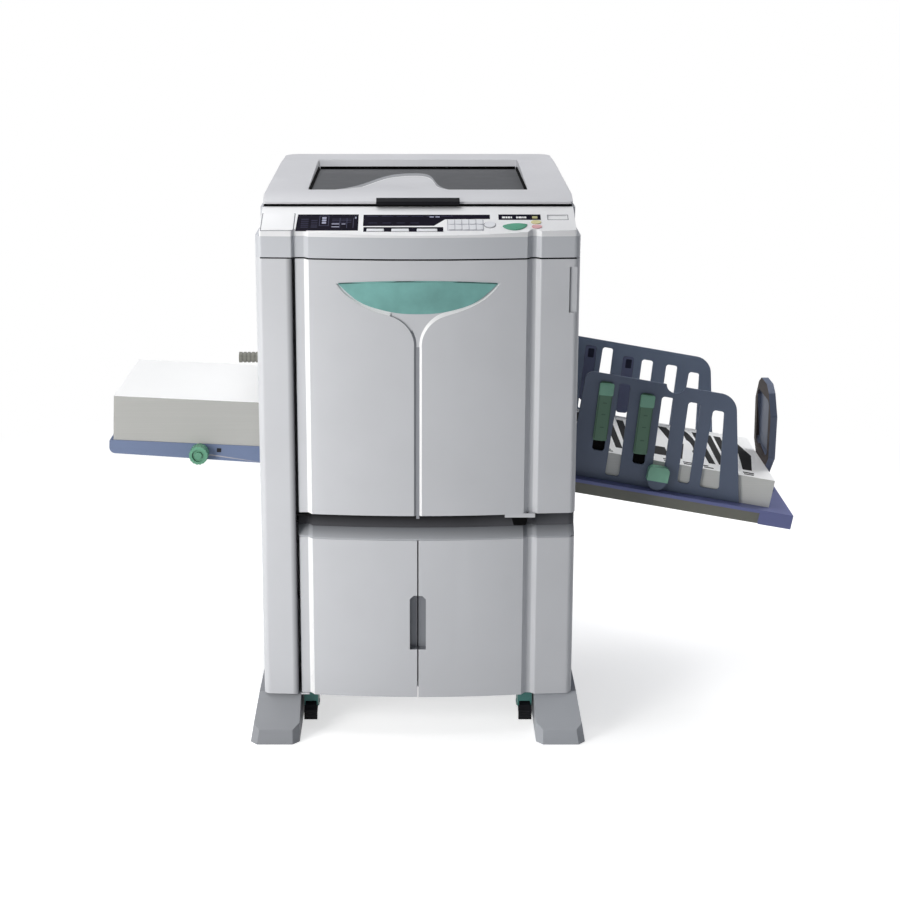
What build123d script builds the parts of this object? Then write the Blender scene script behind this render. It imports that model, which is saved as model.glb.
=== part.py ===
from build123d import *
import math
import os

# A floor-standing stencil duplicator on its cabinet. Millimetres, X to the right, Y to the back, Z up.
# The origin is on the floor, at the middle of the whole machine with both paper trays out.
# The casing's own frame starts on the floor in the middle of its front; all sizes below are read in it.

# Casing
casing_width = 606.0
casing_depth = 610.0
top_width = 596.0
skin = 3.0
seam = 0.5
foot_reach = 60.0
cabinet_bottom = 80.0
cabinet_top = 408.0
door_margin = 3.0
deck_height = 17.0
deck_setback = 18.0
unit_height = 530.0
unit_door_rise = 30.0
band_height = 40.0
tub_height = 43.0
column_back = 112.0
front_wall = 28.0
cover_depth = 15.0

# Moulded front, seen from above
bow_reach = 20.0
bow_edge = 8.0
bow_half = 203.0
cove_floor = 2.0
cove_step = 8.0
cove_width = 18.0
nose_half = 229.0
nose_reach = 5.0
pillar_reach = 1.0
corner_radius = 14.0
nose_radius = 5.0
door_return = 24.0
right_return = 26.0

# Doors
seam_half = 234.5
door_gap = 1.2
pivot_x = 222.0
pivot_y = 9.0
right_pivot_inset = 4.0
right_pivot_y = 20.0
pin_radius = 2.5
pin_clearance = 0.08
pin_reach = 4.0
opening_margin = 12.0
opening_head = 10.0
pull_half = 15.5
pull_drop = 113.0
pull_length = 111.0
pull_depth = 15.0
pull_corner = 7.0
stem_half = 7.5
stem_depth = 3.0
# emblem and groove outlines: distance from the middle and drop below the emblem's top
emblem_half = 148.0
emblem_below_top = 44.0
emblem_edge = ((148, 4), (129, 22), (114, 34), (69, 52), (35, 58.5), (0, 60))
groove_edge = ((152, 3), (115, 39), (69, 59), (40, 69), (23, 82), (11, 101), (stem_half, 126))
recess_width = 20.0
recess_depth = 2.0
recess_low = 102.0
recess_high = 15.0
latch_middle = 196.0
latch_half = 16.0
latch_drop = 22.0
latch_knuckle = 3.6
latch_pin = 2.0
emblem_proud = 0.8
emblem_inset = 1.2

# Skid feet
foot_inner = 231.0
foot_outer_top = 313.0
foot_outer_bottom = 327.0
foot_nose = 31.0
foot_ramp_end = 8.0
foot_corner = 13.0

# Casters
wheel_radius = 28.0
wheel_width = 20.0
wheel_lift = 1.5
caster_x = 213.0
caster_y = 72.0
fork_wall = 3.0
fork_plate = 5.0
fork_front = 5.0
fork_back = 22.0
tread_round = 4.0
hub_dish = 3.0
hub_radius = 9.0
tread_depth = 8.0
axle_radius = 4.0
pedal_pin_y = 34.0
pedal_pin_z = 42.0
pedal_pin_radius = 2.5
pad_thickness = 3.0
rear_wheel_x = 190.0
rear_wheel_y = 540.0
run_clearance = 0.05

# Lid and scanner
lid_front = 78.0
lid_back = 596.0
lid_gap = 5.0
lid_rear_height = 30.0
lid_corner = 30.0
lid_mid_height = 17.0
lid_lip_height = 4.0
lid_crease = 455.0
lid_slope_start = 115.0
lid_front_half = 294.0
lid_back_half = 289.0
window_half = 212.0
window_front = 141.0
window_back = 481.0
window_depth = 8.0
window_bevel = 14.0
inset_thickness = 3.0
hinge_y = 604.0
hinge_rise = 12.0
hinge_x = 165.0
knuckle_radius = 6.0
hinge_pin_radius = 3.0
grip_half = 79.0
grip_notch = 14.0
pad_margin = 6.0
pad_overhang = 30.0
pad_recess = 3.0
knuckle_inner = 11.0
knuckle_outer = 26.0
glass_half_x = 222.0
glass_front = 118.0
glass_back = 458.0
glass_thickness = 4.0
carriage_width = 44.0
carriage_start = -206.0
rail_radius = 4.0
rail_rise = 34.0
rail_margin = 20.0
cavity_margin = 8.0

# Control panel
panel_top_y = 76.0
panel_half = 294.0
panel_lip = 4.0
key_clearance = 0.3
key_proud = 1.6
key_depth = 6.0
key_room = 1.6
window_sink = 1.2

# Mechanism, heights above the deck
plate_front = 60.0
plate_back = 540.0
plate_thickness = 3.0
plate_half = 288.0
drum_rise = 275.0
drum_radius = 88.0
drum_front = 90.0
drum_back = 500.0
journal_radius = 50.0
journal_bore = 46.0
disc_width = 6.0
disc_rise = 5.0
drum_skin = 3.0
cartridge_back = 420.0
cartridge_tip = 440.0
cartridge_flange = 12.0
handle_width = 12.0
stub_radius = 10.0
press_radius = 28.0
press_gap = 0.5
roller_shaft = 6.0
shaft_end = 2.0
master_x = 190.0
master_rise = 440.0
master_radius = 42.0
master_front = 150.0
master_back = 460.0
flange_width = 6.0
flange_rise = 9.0
belt_rise = 167.0
belt_left = 118.0
belt_right = 270.0
belt_margin = 14.0
belt_radius = 13.0
belt_width = 22.0
belt_thickness = 2.5
belt_count = 5
motor_x = 180.0
motor_rise = 95.0
motor_radius = 38.0
motor_length = 46.0

# Paper
paper_front = 200.0
paper_width = 297.0
paper_length = 420.0
feed_stack_height = 92.0
printed_stack_height = 58.0
paper_clearance = 0.3

# Feed tray
feed_tilt = 2.7
feed_rise = 100.0
feed_inside = 104.0
feed_margin = 8.0
feed_side_margin = 2.0
feed_outer_depth = 28.0
feed_inner_depth = 35.0
feed_travel = 45.0
feed_knob_reach = 140.0
feed_knob_radius = 19.0
feed_knob_width = 24.0
feed_knob_flutes = 16
feed_knob_shaft = 4.0
pickup_radius = 22.0
slide_rod_radius = 6.0
feed_mouth_margin = 12.0
mouth_corner = 12.0
feed_ribs = (40, 120, 200, 270)
feed_mouth_low = 15.0
feed_mouth_high = 275.0
lever_y = 140.0
lever_rise = 303.0
lever_radius = 10.5
lever_reach = 49.0
lever_rings = 5
lever_ring_pitch = 8.0

# Receiving tray
out_tilt = 10.1
out_rise = 46.0
out_length = 467.7
out_front = 165.0
out_back = 525.0
out_depth = 30.0
rim_height = 7.0
rim_overhang = 4.0
out_wall = 3.0
end_block = 68.0
out_ribs = (70, 150, 230, 310)
fence_thickness = 5.0
fence_start = 2.0
fence_top_start = -3.0
fence_height = 220.0
fence_top_end = 305.0
fence_foot_end = 358.0
fence_setback = 7.0
fence_travel = 18.0
slot_width = 25.0
slot_lean = 4.3
arranger_drop = 20.0
stack_start = 2.0
stop_height = 232.0
stop_thickness = 14.0
exit_low = 55.0
exit_high = 265.0
exit_margin = 8.0
slide_gap = 0.3

# Values worked out from the sizes above
half = casing_width / 2
deck_top = cabinet_top + deck_height
door_bottom = cabinet_bottom + seam
stand_door_top = cabinet_top - door_margin
pull_top = stand_door_top - pull_drop
pull_bottom = pull_top - pull_length
unit_top = deck_top + unit_height
unit_door_bottom = deck_top + unit_door_rise
unit_door_top = unit_top - door_margin
emblem_top = unit_top - emblem_below_top
drum_z = deck_top + drum_rise
master_z = deck_top + master_rise
belt_z = deck_top + belt_rise
motor_z = deck_top + motor_rise
feed_level = deck_top + feed_rise
feed_mouth_bottom = deck_top + feed_mouth_low
feed_mouth_top = deck_top + feed_mouth_high
lever_z = deck_top + lever_rise
out_level = deck_top + out_rise
exit_bottom = deck_top + exit_low
exit_top = deck_top + exit_high
band_top = unit_top + band_height
tub_top = band_top + tub_height
lid_bottom = tub_top + lid_gap
machine_height = lid_bottom + lid_rear_height
panel_run = panel_top_y + bow_reach
panel_angle = math.degrees(math.atan2(tub_height - panel_lip, panel_run))
panel_length = math.hypot(tub_height - panel_lip, panel_run)
feed_outer = paper_length - feed_inside + feed_margin
out_cos = math.cos(math.radians(out_tilt))
out_sin = math.sin(math.radians(out_tilt))
feed_cos = math.cos(math.radians(feed_tilt))
feed_sin = math.sin(math.radians(feed_tilt))
left_reach = half + feed_outer * feed_cos
right_reach = half + out_length * out_cos
casing_x = (left_reach - right_reach) / 2
casing_y = (foot_reach - casing_depth) / 2
paper_back = paper_front + paper_width
feed_rods = (-26.0, -46.0)
rod_drop = 18.0
pickup_reach = -35.0
apron_setback = deck_setback + 1
latch_y = 0.0
latch_z = unit_door_bottom - 4
fence_front_y = paper_front - fence_setback - paper_clearance
fence_back_y = fence_front_y + paper_width + 2 * paper_clearance


def level(z):
    """Horizontal plane at a height; its sketches read X across and Y back."""
    return Plane(origin=(casing_x, casing_y, z))


def apron_level(z):
    """Horizontal plane whose front outline lies behind the deck's sloping edge."""
    return Plane(origin=(casing_x, casing_y + apron_setback, z))


def upright(y):
    """Plane across the casing, facing forward; its sketches read X across and Z up."""
    return Plane(origin=(casing_x, casing_y + y, 0), x_dir=(1, 0, 0), z_dir=(0, -1, 0))


def side(x):
    """Plane along the casing, facing right; its sketches read Y back and Z up."""
    return Plane(origin=(casing_x + x, casing_y, 0), x_dir=(0, 1, 0), z_dir=(1, 0, 0))


def panel_plane(height=0.0):
    """Plane of the sloping control panel; its sketches read X across and up the slope."""
    tilt = math.radians(panel_angle)
    origin = (
        casing_x,
        casing_y - bow_reach - height * math.sin(tilt),
        band_top + panel_lip + height * math.cos(tilt),
    )
    return Plane(origin=origin, x_dir=(1, 0, 0), z_dir=(0, -math.sin(tilt), math.cos(tilt)))


def feed_section(y):
    """Side view of the feed tray, facing back; its sketches read outward and up from the tray's top."""
    origin = (casing_x - half, casing_y + y, feed_level)
    return Plane(origin=origin, x_dir=(-feed_cos, 0, feed_sin), z_dir=(0, 1, 0))


def out_section(y):
    """Side view of the receiving tray, facing forward; its sketches read outward and up from its floor."""
    origin = (casing_x + half, casing_y + y, out_level)
    return Plane(origin=origin, x_dir=(out_cos, 0, -out_sin), z_dir=(0, -1, 0))


def out_floor(height=0.0):
    """Plane along the receiving tray's floor; its sketches read outward and Y back."""
    origin = (casing_x + half + height * out_sin, casing_y, out_level + height * out_cos)
    return Plane(origin=origin, x_dir=(out_cos, 0, -out_sin), z_dir=(out_sin, 0, out_cos))


def feed_point(reach, rise):
    """X and Z in the casing's frame of a point on the feed tray's side view."""
    return -half - reach * feed_cos + rise * feed_sin, feed_level + reach * feed_sin + rise * feed_cos


def block(x0, x1, y0, y1, z0, z1, mode=Mode.ADD):
    """A box between limits in the casing's frame."""
    with BuildSketch(level(z0)) as sketch:
        with Locations(((x0 + x1) / 2, (y0 + y1) / 2)):
            Rectangle(x1 - x0, y1 - y0)
    extrude(sketch.sketch, amount=z1 - z0, mode=mode)


def rod_y(x, z, y0, y1, radius, mode=Mode.ADD):
    """A round bar or bore that runs front to back."""
    with BuildSketch(upright(y1)) as sketch:
        with Locations((x, z)):
            Circle(radius)
    extrude(sketch.sketch, amount=y1 - y0, mode=mode)


def rod_x(y, z, x0, x1, radius, mode=Mode.ADD):
    """A round bar or bore that runs left to right."""
    with BuildSketch(side(x0)) as sketch:
        with Locations((y, z)):
            Circle(radius)
    extrude(sketch.sketch, amount=x1 - x0, mode=mode)


def rod_z(x, y, z0, z1, radius, mode=Mode.ADD):
    """A round bar or bore that stands upright."""
    with BuildSketch(level(z0)) as sketch:
        with Locations((x, y)):
            Circle(radius)
    extrude(sketch.sketch, amount=z1 - z0, mode=mode)


def section_box(plane, u0, u1, w0, w1, depth, mode=Mode.ADD):
    """A box drawn on a plane between limits and extruded along its normal."""
    with BuildSketch(plane) as sketch:
        with Locations(((u0 + u1) / 2, (w0 + w1) / 2)):
            Rectangle(u1 - u0, w1 - w0)
    extrude(sketch.sketch, amount=depth, mode=mode)


def front_plan(x_left, x_right, y_back, inset=0.0):
    """Plan of the moulded front between two sides: a bowed middle, a cove each side and pillars."""
    far = casing_depth + skin * 2
    floor_in = bow_half + cove_step
    floor_out = floor_in + cove_width - cove_step
    with BuildLine() as line:
        ThreePointArc((-bow_half, -bow_edge), (0, -bow_reach), (bow_half, -bow_edge))
        FilletPolyline(
            (bow_half, -bow_edge),
            (floor_in, cove_floor),
            (floor_out, cove_floor),
            (nose_half, -nose_reach),
            (half, -pillar_reach),
            (half, far),
            radius=[nose_radius, nose_radius, nose_radius, corner_radius],
        )
        FilletPolyline(
            (-bow_half, -bow_edge),
            (-floor_in, cove_floor),
            (2 - seam_half, cove_floor),
            (-seam_half, -nose_reach),
            (-half, -pillar_reach),
            (-half, far),
            radius=[nose_radius, 1, 3, corner_radius],
        )
        Line((-half, far), (half, far))
    make_face(line.edges())
    if inset:
        offset(amount=-inset)
    y_front = -bow_reach * 2
    with Locations(((x_left + x_right) / 2, (y_front + y_back) / 2)):
        Rectangle(x_right - x_left - 2 * inset, y_back - y_front, mode=Mode.INTERSECT)


def front_shell(x_left, x_right, z_bottom, z_top, y_back):
    """A hollow moulded front panel, open at the back."""
    with BuildSketch(level(z_bottom)) as sketch:
        front_plan(x_left, x_right, y_back)
    extrude(sketch.sketch, amount=z_top - z_bottom)
    with BuildSketch(level(z_bottom + skin)) as sketch:
        front_plan(x_left, x_right, y_back + skin, inset=skin)
    extrude(sketch.sketch, amount=z_top - z_bottom - 2 * skin, mode=Mode.SUBTRACT)


def casing_plan(inset=0.0):
    """Plan of the cabinet behind the doors, notched for the left column."""
    left = -half + inset
    right = half - inset
    notch = -foot_inner + inset
    back = casing_depth - inset
    front = front_wall + inset
    with BuildLine() as line:
        Polyline(
            (notch, front),
            (right, front),
            (right, back),
            (left, back),
            (left, column_back + 1 + inset),
            (notch, column_back + 1 + inset),
            close=True,
        )
    make_face(line.edges())


# Stand

wall = 4.0
opening_left = -foot_inner + opening_margin
opening_right = half - opening_margin
shelf_setback = 60.0
shelf_z = cabinet_bottom + 160
wheel_z = wheel_lift + wheel_radius
fork_half = wheel_width / 2 + 1 + fork_wall

with BuildPart() as stand_cabinet:
    with BuildSketch(level(cabinet_bottom)):
        casing_plan()
    extrude(amount=cabinet_top - cabinet_bottom)
    with BuildSketch(level(cabinet_bottom + wall)):
        casing_plan(inset=wall)
    extrude(amount=cabinet_top - cabinet_bottom - 2 * wall, mode=Mode.SUBTRACT)
    block(
        opening_left,
        opening_right,
        front_wall - 1,
        front_wall + wall + 1,
        cabinet_bottom + opening_margin,
        stand_door_top - opening_head,
        mode=Mode.SUBTRACT,
    )
    # deck with a front that leans back
    with BuildSketch(level(cabinet_top)):
        front_plan(-foot_inner, half, column_back + 1)
    extrude(amount=math.hypot(deck_setback, deck_height), dir=(0, deck_setback, deck_height))
    block(-half, half, column_back + 1, casing_depth, cabinet_top, deck_top)
    # shelf for spare paper
    block(-half + wall, half - wall, front_wall + shelf_setback, casing_depth - wall, shelf_z, shelf_z + skin)
    # hinge pins of the doors
    rod_z(-pivot_x, pivot_y, stand_door_top - skin - pin_reach, cabinet_top, pin_radius)
    rod_z(half - right_pivot_inset, right_pivot_y, stand_door_top - skin - pin_reach, cabinet_top, pin_radius)
    block(-foot_inner, -pivot_x + 8, 0, front_wall + 30, cabinet_bottom - pad_thickness, cabinet_bottom)
    rod_z(-pivot_x, pivot_y, cabinet_bottom - pad_thickness, door_bottom + skin + pin_reach, pin_radius)
    # pads for the front casters
    for x in (-caster_x, caster_x):
        block(x - fork_half, x + fork_half, front_wall, caster_y + fork_back + 2,
              cabinet_bottom - pad_thickness, cabinet_bottom)


def foot(sign):
    """Skid foot: a low nose, a ramp up to the cabinet and a flared outer side."""
    with BuildSketch(upright(casing_depth)) as sketch:
        with BuildLine() as line:
            Polyline(
                (sign * foot_inner, 0),
                (sign * foot_outer_bottom, 0),
                (sign * foot_outer_top, cabinet_bottom),
                (sign * foot_inner, cabinet_bottom),
                close=True,
            )
        make_face(line.edges())
    extrude(sketch.sketch, amount=casing_depth + foot_reach)
    with BuildSketch(side(-foot_outer_bottom - 1)) as sketch:
        with BuildLine() as line:
            Polyline(
                (-foot_reach, 0),
                (-foot_reach, foot_nose),
                (foot_ramp_end, cabinet_bottom),
                (casing_depth, cabinet_bottom),
                (casing_depth, 0),
                close=True,
            )
        make_face(line.edges())
    extrude(sketch.sketch, amount=2 * foot_outer_bottom + 2, mode=Mode.INTERSECT)


def soften_foot(piece):
    """Chamfer the nose's corners and round the foot's long edges."""
    nose = piece.faces().sort_by(Axis.Y)[0]
    chamfer(nose.edges().filter_by(lambda edge: abs(edge.tangent_at(0.5).Z) > 0.9), foot_corner)
    ridge = piece.faces().sort_by(Axis.Y)[0].edges().sort_by(Axis.Z)[-1]
    fillet(ridge, 3)


with BuildPart() as foot_left:
    foot(-1)
    soften_foot(foot_left)

with BuildPart() as foot_right:
    foot(1)
    soften_foot(foot_right)
    # lower hinge pin of the right door
    rod_z(half - right_pivot_inset, right_pivot_y, cabinet_bottom, door_bottom + skin + pin_reach, pin_radius)


def door_pull(sign):
    """Half of the finger cup that the two doors share, its far side open."""
    inner = sign * door_gap
    outer = sign * pull_half
    wall_x = sign * (pull_half + skin)
    back = -bow_reach + pull_depth
    block(min(inner, wall_x), max(inner, wall_x), -bow_reach + 1, back + skin, pull_bottom - skin,
          pull_top + skin)
    with BuildSketch(upright(back)) as sketch:
        with BuildLine() as line:
            Polyline(
                (0, pull_bottom),
                (outer, pull_bottom),
                (outer, pull_top - pull_corner),
                (outer - sign * pull_corner, pull_top),
                (0, pull_top),
                close=True,
            )
        make_face(line.edges())
    extrude(sketch.sketch, amount=pull_depth * 3, mode=Mode.SUBTRACT)


with BuildPart() as stand_door_left:
    front_shell(-nose_half, -door_gap, door_bottom, stand_door_top, door_return)
    door_pull(-1)
    rod_z(-pivot_x, pivot_y, door_bottom - 1, stand_door_top + 1, pin_radius + pin_clearance,
          mode=Mode.SUBTRACT)

with BuildPart() as stand_door_right:
    front_shell(door_gap, half, door_bottom, stand_door_top, right_return)
    door_pull(1)
    rod_z(half - right_pivot_inset, right_pivot_y, door_bottom - 1, stand_door_top + 1,
          pin_radius + pin_clearance, mode=Mode.SUBTRACT)

with BuildPart() as left_column_cover:
    with BuildSketch(level(cabinet_bottom)):
        front_plan(-half, -seam_half, column_back)
    extrude(amount=unit_top - cabinet_bottom)
    with BuildSketch(level(cabinet_bottom - 1)):
        front_plan(-half, -seam_half + skin, column_back + skin, inset=skin)
    extrude(amount=unit_top - cabinet_bottom + 2, mode=Mode.SUBTRACT)
    # the inner side stops at the front wall, so that the unit behind is clear
    block(-seam_half - skin - 1, -seam_half + 1, front_wall, column_back + 1, cabinet_bottom - 1,
          unit_top + 1, mode=Mode.SUBTRACT)

# Casters

# side views of the brake pedal's arm and tread, reach and rise from its pin
pedal_arm = ((3, -4), (-4, 4.5), (-14, 1), (-12, -10))
pedal_tread = ((-13, 2), (-20, -6), (-22, -24), (-17, -27), (-13, -25), (-12, -10), (-11, -2))
pedal_ribs = 5


def caster_fork(sign):
    """Fixed fork of a front caster: a plate, two cheeks, a front shroud and the pedal's pin."""
    x = sign * caster_x
    top = cabinet_bottom - pad_thickness
    front = pedal_pin_y - fork_front
    block(x - fork_half, x + fork_half, front, caster_y + fork_back, top - fork_plate, top)
    block(x - fork_half, x + fork_half, front, front + fork_wall, pedal_pin_z + 7, top)
    for wall_x in (x - fork_half, x + fork_half - fork_wall):
        with BuildSketch(side(wall_x)) as sketch:
            with BuildLine() as line:
                Polyline(
                    (front, top - 1),
                    (caster_y + fork_back, top - 1),
                    (caster_y + 9, wheel_z + 8),
                    (caster_y + 6, wheel_z - 8),
                    (caster_y - 6, wheel_z - 8),
                    (caster_y - 12, wheel_z + 6),
                    (pedal_pin_y + 6, pedal_pin_z - 5),
                    (front, pedal_pin_z - 5),
                    close=True,
                )
            make_face(line.edges())
        extrude(sketch.sketch, amount=fork_wall)
    rod_x(pedal_pin_y, pedal_pin_z, x - fork_half, x + fork_half, pedal_pin_radius)
    rod_x(caster_y, wheel_z, x - fork_half - 1, x + fork_half + 1, axle_radius)


def caster_wheel(sign):
    """Caster wheel with a dished hub and a rounded tread."""
    x = sign * caster_x
    rod_x(caster_y, wheel_z, x - wheel_width / 2, x + wheel_width / 2, wheel_radius)
    rims = faces().filter_by(Axis.X).edges()
    fillet(rims, tread_round)
    for wheel_x in (x - wheel_width / 2, x + wheel_width / 2 - hub_dish):
        with BuildSketch(side(wheel_x)) as sketch:
            with Locations((caster_y, wheel_z)):
                Circle(wheel_radius - tread_depth)
                Circle(hub_radius, mode=Mode.SUBTRACT)
        extrude(sketch.sketch, amount=hub_dish, mode=Mode.SUBTRACT)
    rod_x(caster_y, wheel_z, x - wheel_width, x + wheel_width, axle_radius + run_clearance,
          mode=Mode.SUBTRACT)


def pedal_slice(x0, x1, outline):
    """Slice of the brake pedal, drawn from its pin."""
    points = [(pedal_pin_y + reach, pedal_pin_z + rise) for reach, rise in outline]
    with BuildSketch(side(x0)) as sketch:
        with BuildLine() as line:
            Polyline(*points, close=True)
        make_face(line.edges())
    extrude(sketch.sketch, amount=x1 - x0)


def brake_pedal(sign):
    """Brake pedal that hangs from the fork's pin: a hub, an arm and a ribbed tread."""
    x = sign * caster_x
    narrow = fork_half - fork_wall - 0.5
    wide = fork_half - 1
    rod_x(pedal_pin_y, pedal_pin_z, x - narrow, x + narrow, 5)
    pedal_slice(x - narrow, x + narrow, pedal_arm)
    pedal_slice(x - wide, x + wide, pedal_tread)
    for step in range(pedal_ribs):
        drop = -8 - 4 * step
        front = -19.7 + 0.11 * (drop + 6)
        rib = ((front, drop), (front - 2, drop), (front - 2, drop + 2), (front, drop + 2))
        pedal_slice(x - wide, x + wide, rib)
    rod_x(pedal_pin_y, pedal_pin_z, x - fork_half, x + fork_half, pedal_pin_radius + run_clearance,
          mode=Mode.SUBTRACT)


with BuildPart() as caster_fork_left:
    caster_fork(-1)

with BuildPart() as caster_fork_right:
    caster_fork(1)

with BuildPart() as caster_wheel_left:
    caster_wheel(-1)

with BuildPart() as caster_wheel_right:
    caster_wheel(1)

with BuildPart() as brake_pedal_left:
    brake_pedal(-1)

with BuildPart() as brake_pedal_right:
    brake_pedal(1)

with BuildPart() as rear_caster_brackets:
    for x in (-rear_wheel_x, rear_wheel_x):
        block(x - fork_half, x + fork_half, rear_wheel_y - 24, rear_wheel_y + 24, cabinet_bottom - 4,
              cabinet_bottom)
        for wall_x in (x - fork_half, x + fork_half - fork_wall):
            with BuildSketch(side(wall_x)):
                with BuildLine():
                    Polyline(
                        (rear_wheel_y - 20, cabinet_bottom - 3),
                        (rear_wheel_y + 20, cabinet_bottom - 3),
                        (rear_wheel_y + 9, wheel_z - 8),
                        (rear_wheel_y - 9, wheel_z - 8),
                        close=True,
                    )
                make_face()
            extrude(amount=fork_wall)
    rod_x(rear_wheel_y, wheel_z, -half, half, axle_radius + run_clearance, mode=Mode.SUBTRACT)

with BuildPart() as rear_wheels:
    for x in (-rear_wheel_x, rear_wheel_x):
        rod_x(rear_wheel_y, wheel_z, x - wheel_width / 2, x + wheel_width / 2, wheel_radius)
    rear_rims = faces().filter_by(Axis.X).edges()
    fillet(rear_rims, tread_round)
    reach = rear_wheel_x + fork_half + 2
    rod_x(rear_wheel_y, wheel_z, -reach, reach, axle_radius)

# Main unit: covers

cover_inner = half - cover_depth
rear_inner = casing_depth - cover_depth
vent_pitch = 12.0
vent_slot = 5.0
# a group of louvres: place across, height, slots and their length
low_vents = (-half / 2, motor_z + 40, 9, 120)
high_vents = (half / 2, unit_top - 95, 6, 160)
inlet_x = half - 63
inlet_z = deck_top + 45
inlet_width = 50.0
inlet_height = 28.0
mouth_front = paper_front - feed_side_margin - feed_mouth_margin
mouth_back = paper_back + feed_side_margin + feed_mouth_margin


def side_cover(sign, y_front, hole):
    """A shallow moulded side cover with returned edges and a mouth with rounded corners."""
    outer = sign * half
    inner = sign * cover_inner
    block(min(outer, inner), max(outer, inner), y_front, rear_inner, deck_top, unit_top)
    hollow_outer = sign * (half - skin)
    hollow_inner = sign * (cover_inner - 1)
    block(
        min(hollow_outer, hollow_inner),
        max(hollow_outer, hollow_inner),
        y_front + skin,
        rear_inner - skin,
        deck_top + skin,
        unit_top - skin,
        mode=Mode.SUBTRACT,
    )
    y0, y1, z0, z1 = hole
    # a lip runs round the mouth
    with BuildSketch(side(min(outer, inner))) as sketch:
        with Locations(((y0 + y1) / 2, (z0 + z1) / 2)):
            RectangleRounded(y1 - y0 + 2 * skin, z1 - z0 + 2 * skin, mouth_corner + skin)
    extrude(sketch.sketch, amount=cover_depth)
    with BuildSketch(side(min(outer, inner) - 1)) as sketch:
        with Locations(((y0 + y1) / 2, (z0 + z1) / 2)):
            RectangleRounded(y1 - y0, z1 - z0, mouth_corner)
    extrude(sketch.sketch, amount=cover_depth + 2, mode=Mode.SUBTRACT)


with BuildPart() as left_side_cover:
    side_cover(-1, column_back + 1, (mouth_front, mouth_back, feed_mouth_bottom, feed_mouth_top))
    rod_x(lever_y, lever_z, -half - 1, -half + skin + 1, roller_shaft + run_clearance, mode=Mode.SUBTRACT)

with BuildPart() as right_side_cover:
    side_cover(1, front_wall + 1, (out_front + exit_margin, out_back - exit_margin, exit_bottom, exit_top))

with BuildPart() as rear_cover:
    block(-half, half, rear_inner, casing_depth, deck_top, unit_top)
    block(-half + skin, half - skin, rear_inner - 1, casing_depth - skin, deck_top + skin, unit_top - skin,
          mode=Mode.SUBTRACT)
    # cooling louvres and the recess of the power inlet
    with BuildSketch(upright(casing_depth + 1)):
        for x, z, slots_high, length in (low_vents, high_vents):
            with Locations((x, z)):
                with GridLocations(0, vent_pitch, 1, slots_high):
                    SlotOverall(length, vent_slot)
        with Locations((inlet_x, inlet_z)):
            Rectangle(inlet_width, inlet_height)
    extrude(amount=skin + 2, mode=Mode.SUBTRACT)

with BuildPart() as power_inlet:
    # socket with three blades and a rocker beside it
    socket_x = inlet_x - inlet_width / 2 + 15.5
    rocker_x = inlet_x + inlet_width / 2 - 11
    block(inlet_x - inlet_width / 2, inlet_x + inlet_width / 2, casing_depth - 18, casing_depth,
          inlet_z - inlet_height / 2, inlet_z + inlet_height / 2)
    block(socket_x - 11.5, socket_x + 11.5, casing_depth - 15, casing_depth + 1, inlet_z - 9, inlet_z + 9,
          mode=Mode.SUBTRACT)
    block(rocker_x - 8, rocker_x + 8, casing_depth - 4, casing_depth + 1, inlet_z - 10, inlet_z + 10,
          mode=Mode.SUBTRACT)
    for blade in (socket_x - 6, socket_x, socket_x + 6):
        block(blade - 0.8, blade + 0.8, casing_depth - 16, casing_depth - 3, inlet_z - 3, inlet_z + 3)
    with BuildSketch(side(rocker_x - 7)):
        with BuildLine():
            Polyline(
                (casing_depth - 4.5, inlet_z - 9),
                (casing_depth - 0.5, inlet_z - 9),
                (casing_depth - 2.5, inlet_z),
                (casing_depth - 0.2, inlet_z + 9),
                (casing_depth - 4.5, inlet_z + 9),
                close=True,
            )
        make_face()
    extrude(amount=14)

tub_half = top_width / 2
tub_front = panel_top_y
cavity_half = tub_half - cavity_margin
glass_seat = tub_top - glass_thickness

with BuildPart() as upper_housing:
    with BuildSketch(level(unit_top)):
        front_plan(-half, half, casing_depth)
    extrude(amount=band_height)
    with BuildSketch(level(band_top)):
        with Locations((0, (tub_front + casing_depth) / 2)):
            Rectangle(top_width, casing_depth - tub_front)
        fillet(vertices().group_by(Axis.Y)[-1], 8)
    extrude(amount=tub_height)
    with BuildSketch(level(unit_top + skin)):
        front_plan(-half, half, tub_front + skin, inset=skin)
    extrude(amount=band_height - 2 * skin, mode=Mode.SUBTRACT)
    block(-cavity_half, cavity_half, tub_front + skin, casing_depth - 14, unit_top + skin, glass_seat - skin,
          mode=Mode.SUBTRACT)
    ledge = cavity_margin
    block(-glass_half_x + ledge, glass_half_x - ledge, glass_front + ledge, glass_back - ledge,
          glass_seat - skin - 1, tub_top, mode=Mode.SUBTRACT)
    block(-glass_half_x, glass_half_x, glass_front, glass_back, glass_seat, tub_top, mode=Mode.SUBTRACT)
    # upper hinge pin of the front door
    rod_z(-pivot_x, pivot_y, unit_door_top - skin - pin_reach, unit_top, pin_radius)
    # hinge posts and pins of the lid
    for x in (-hinge_x, hinge_x):
        for post in (x - knuckle_outer, x + knuckle_inner):
            with BuildSketch(side(post)):
                with Locations((hinge_y, tub_top + hinge_rise)):
                    Circle(knuckle_radius)
                with Locations((hinge_y, tub_top + hinge_rise / 2)):
                    Rectangle(2 * knuckle_radius, hinge_rise)
            extrude(amount=knuckle_outer - knuckle_inner)
        rod_x(hinge_y, tub_top + hinge_rise, x - knuckle_outer, x + knuckle_outer, hinge_pin_radius)

with BuildPart() as platen_glass:
    block(-glass_half_x, glass_half_x, glass_front, glass_back, glass_seat, tub_top)

rail_z = unit_top + rail_rise
rail_front = glass_front + rail_margin
rail_back = glass_back - rail_margin

with BuildPart() as scanner_rails:
    for y in (rail_front, rail_back):
        rod_x(y, rail_z, -cavity_half, cavity_half, rail_radius)

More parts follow.
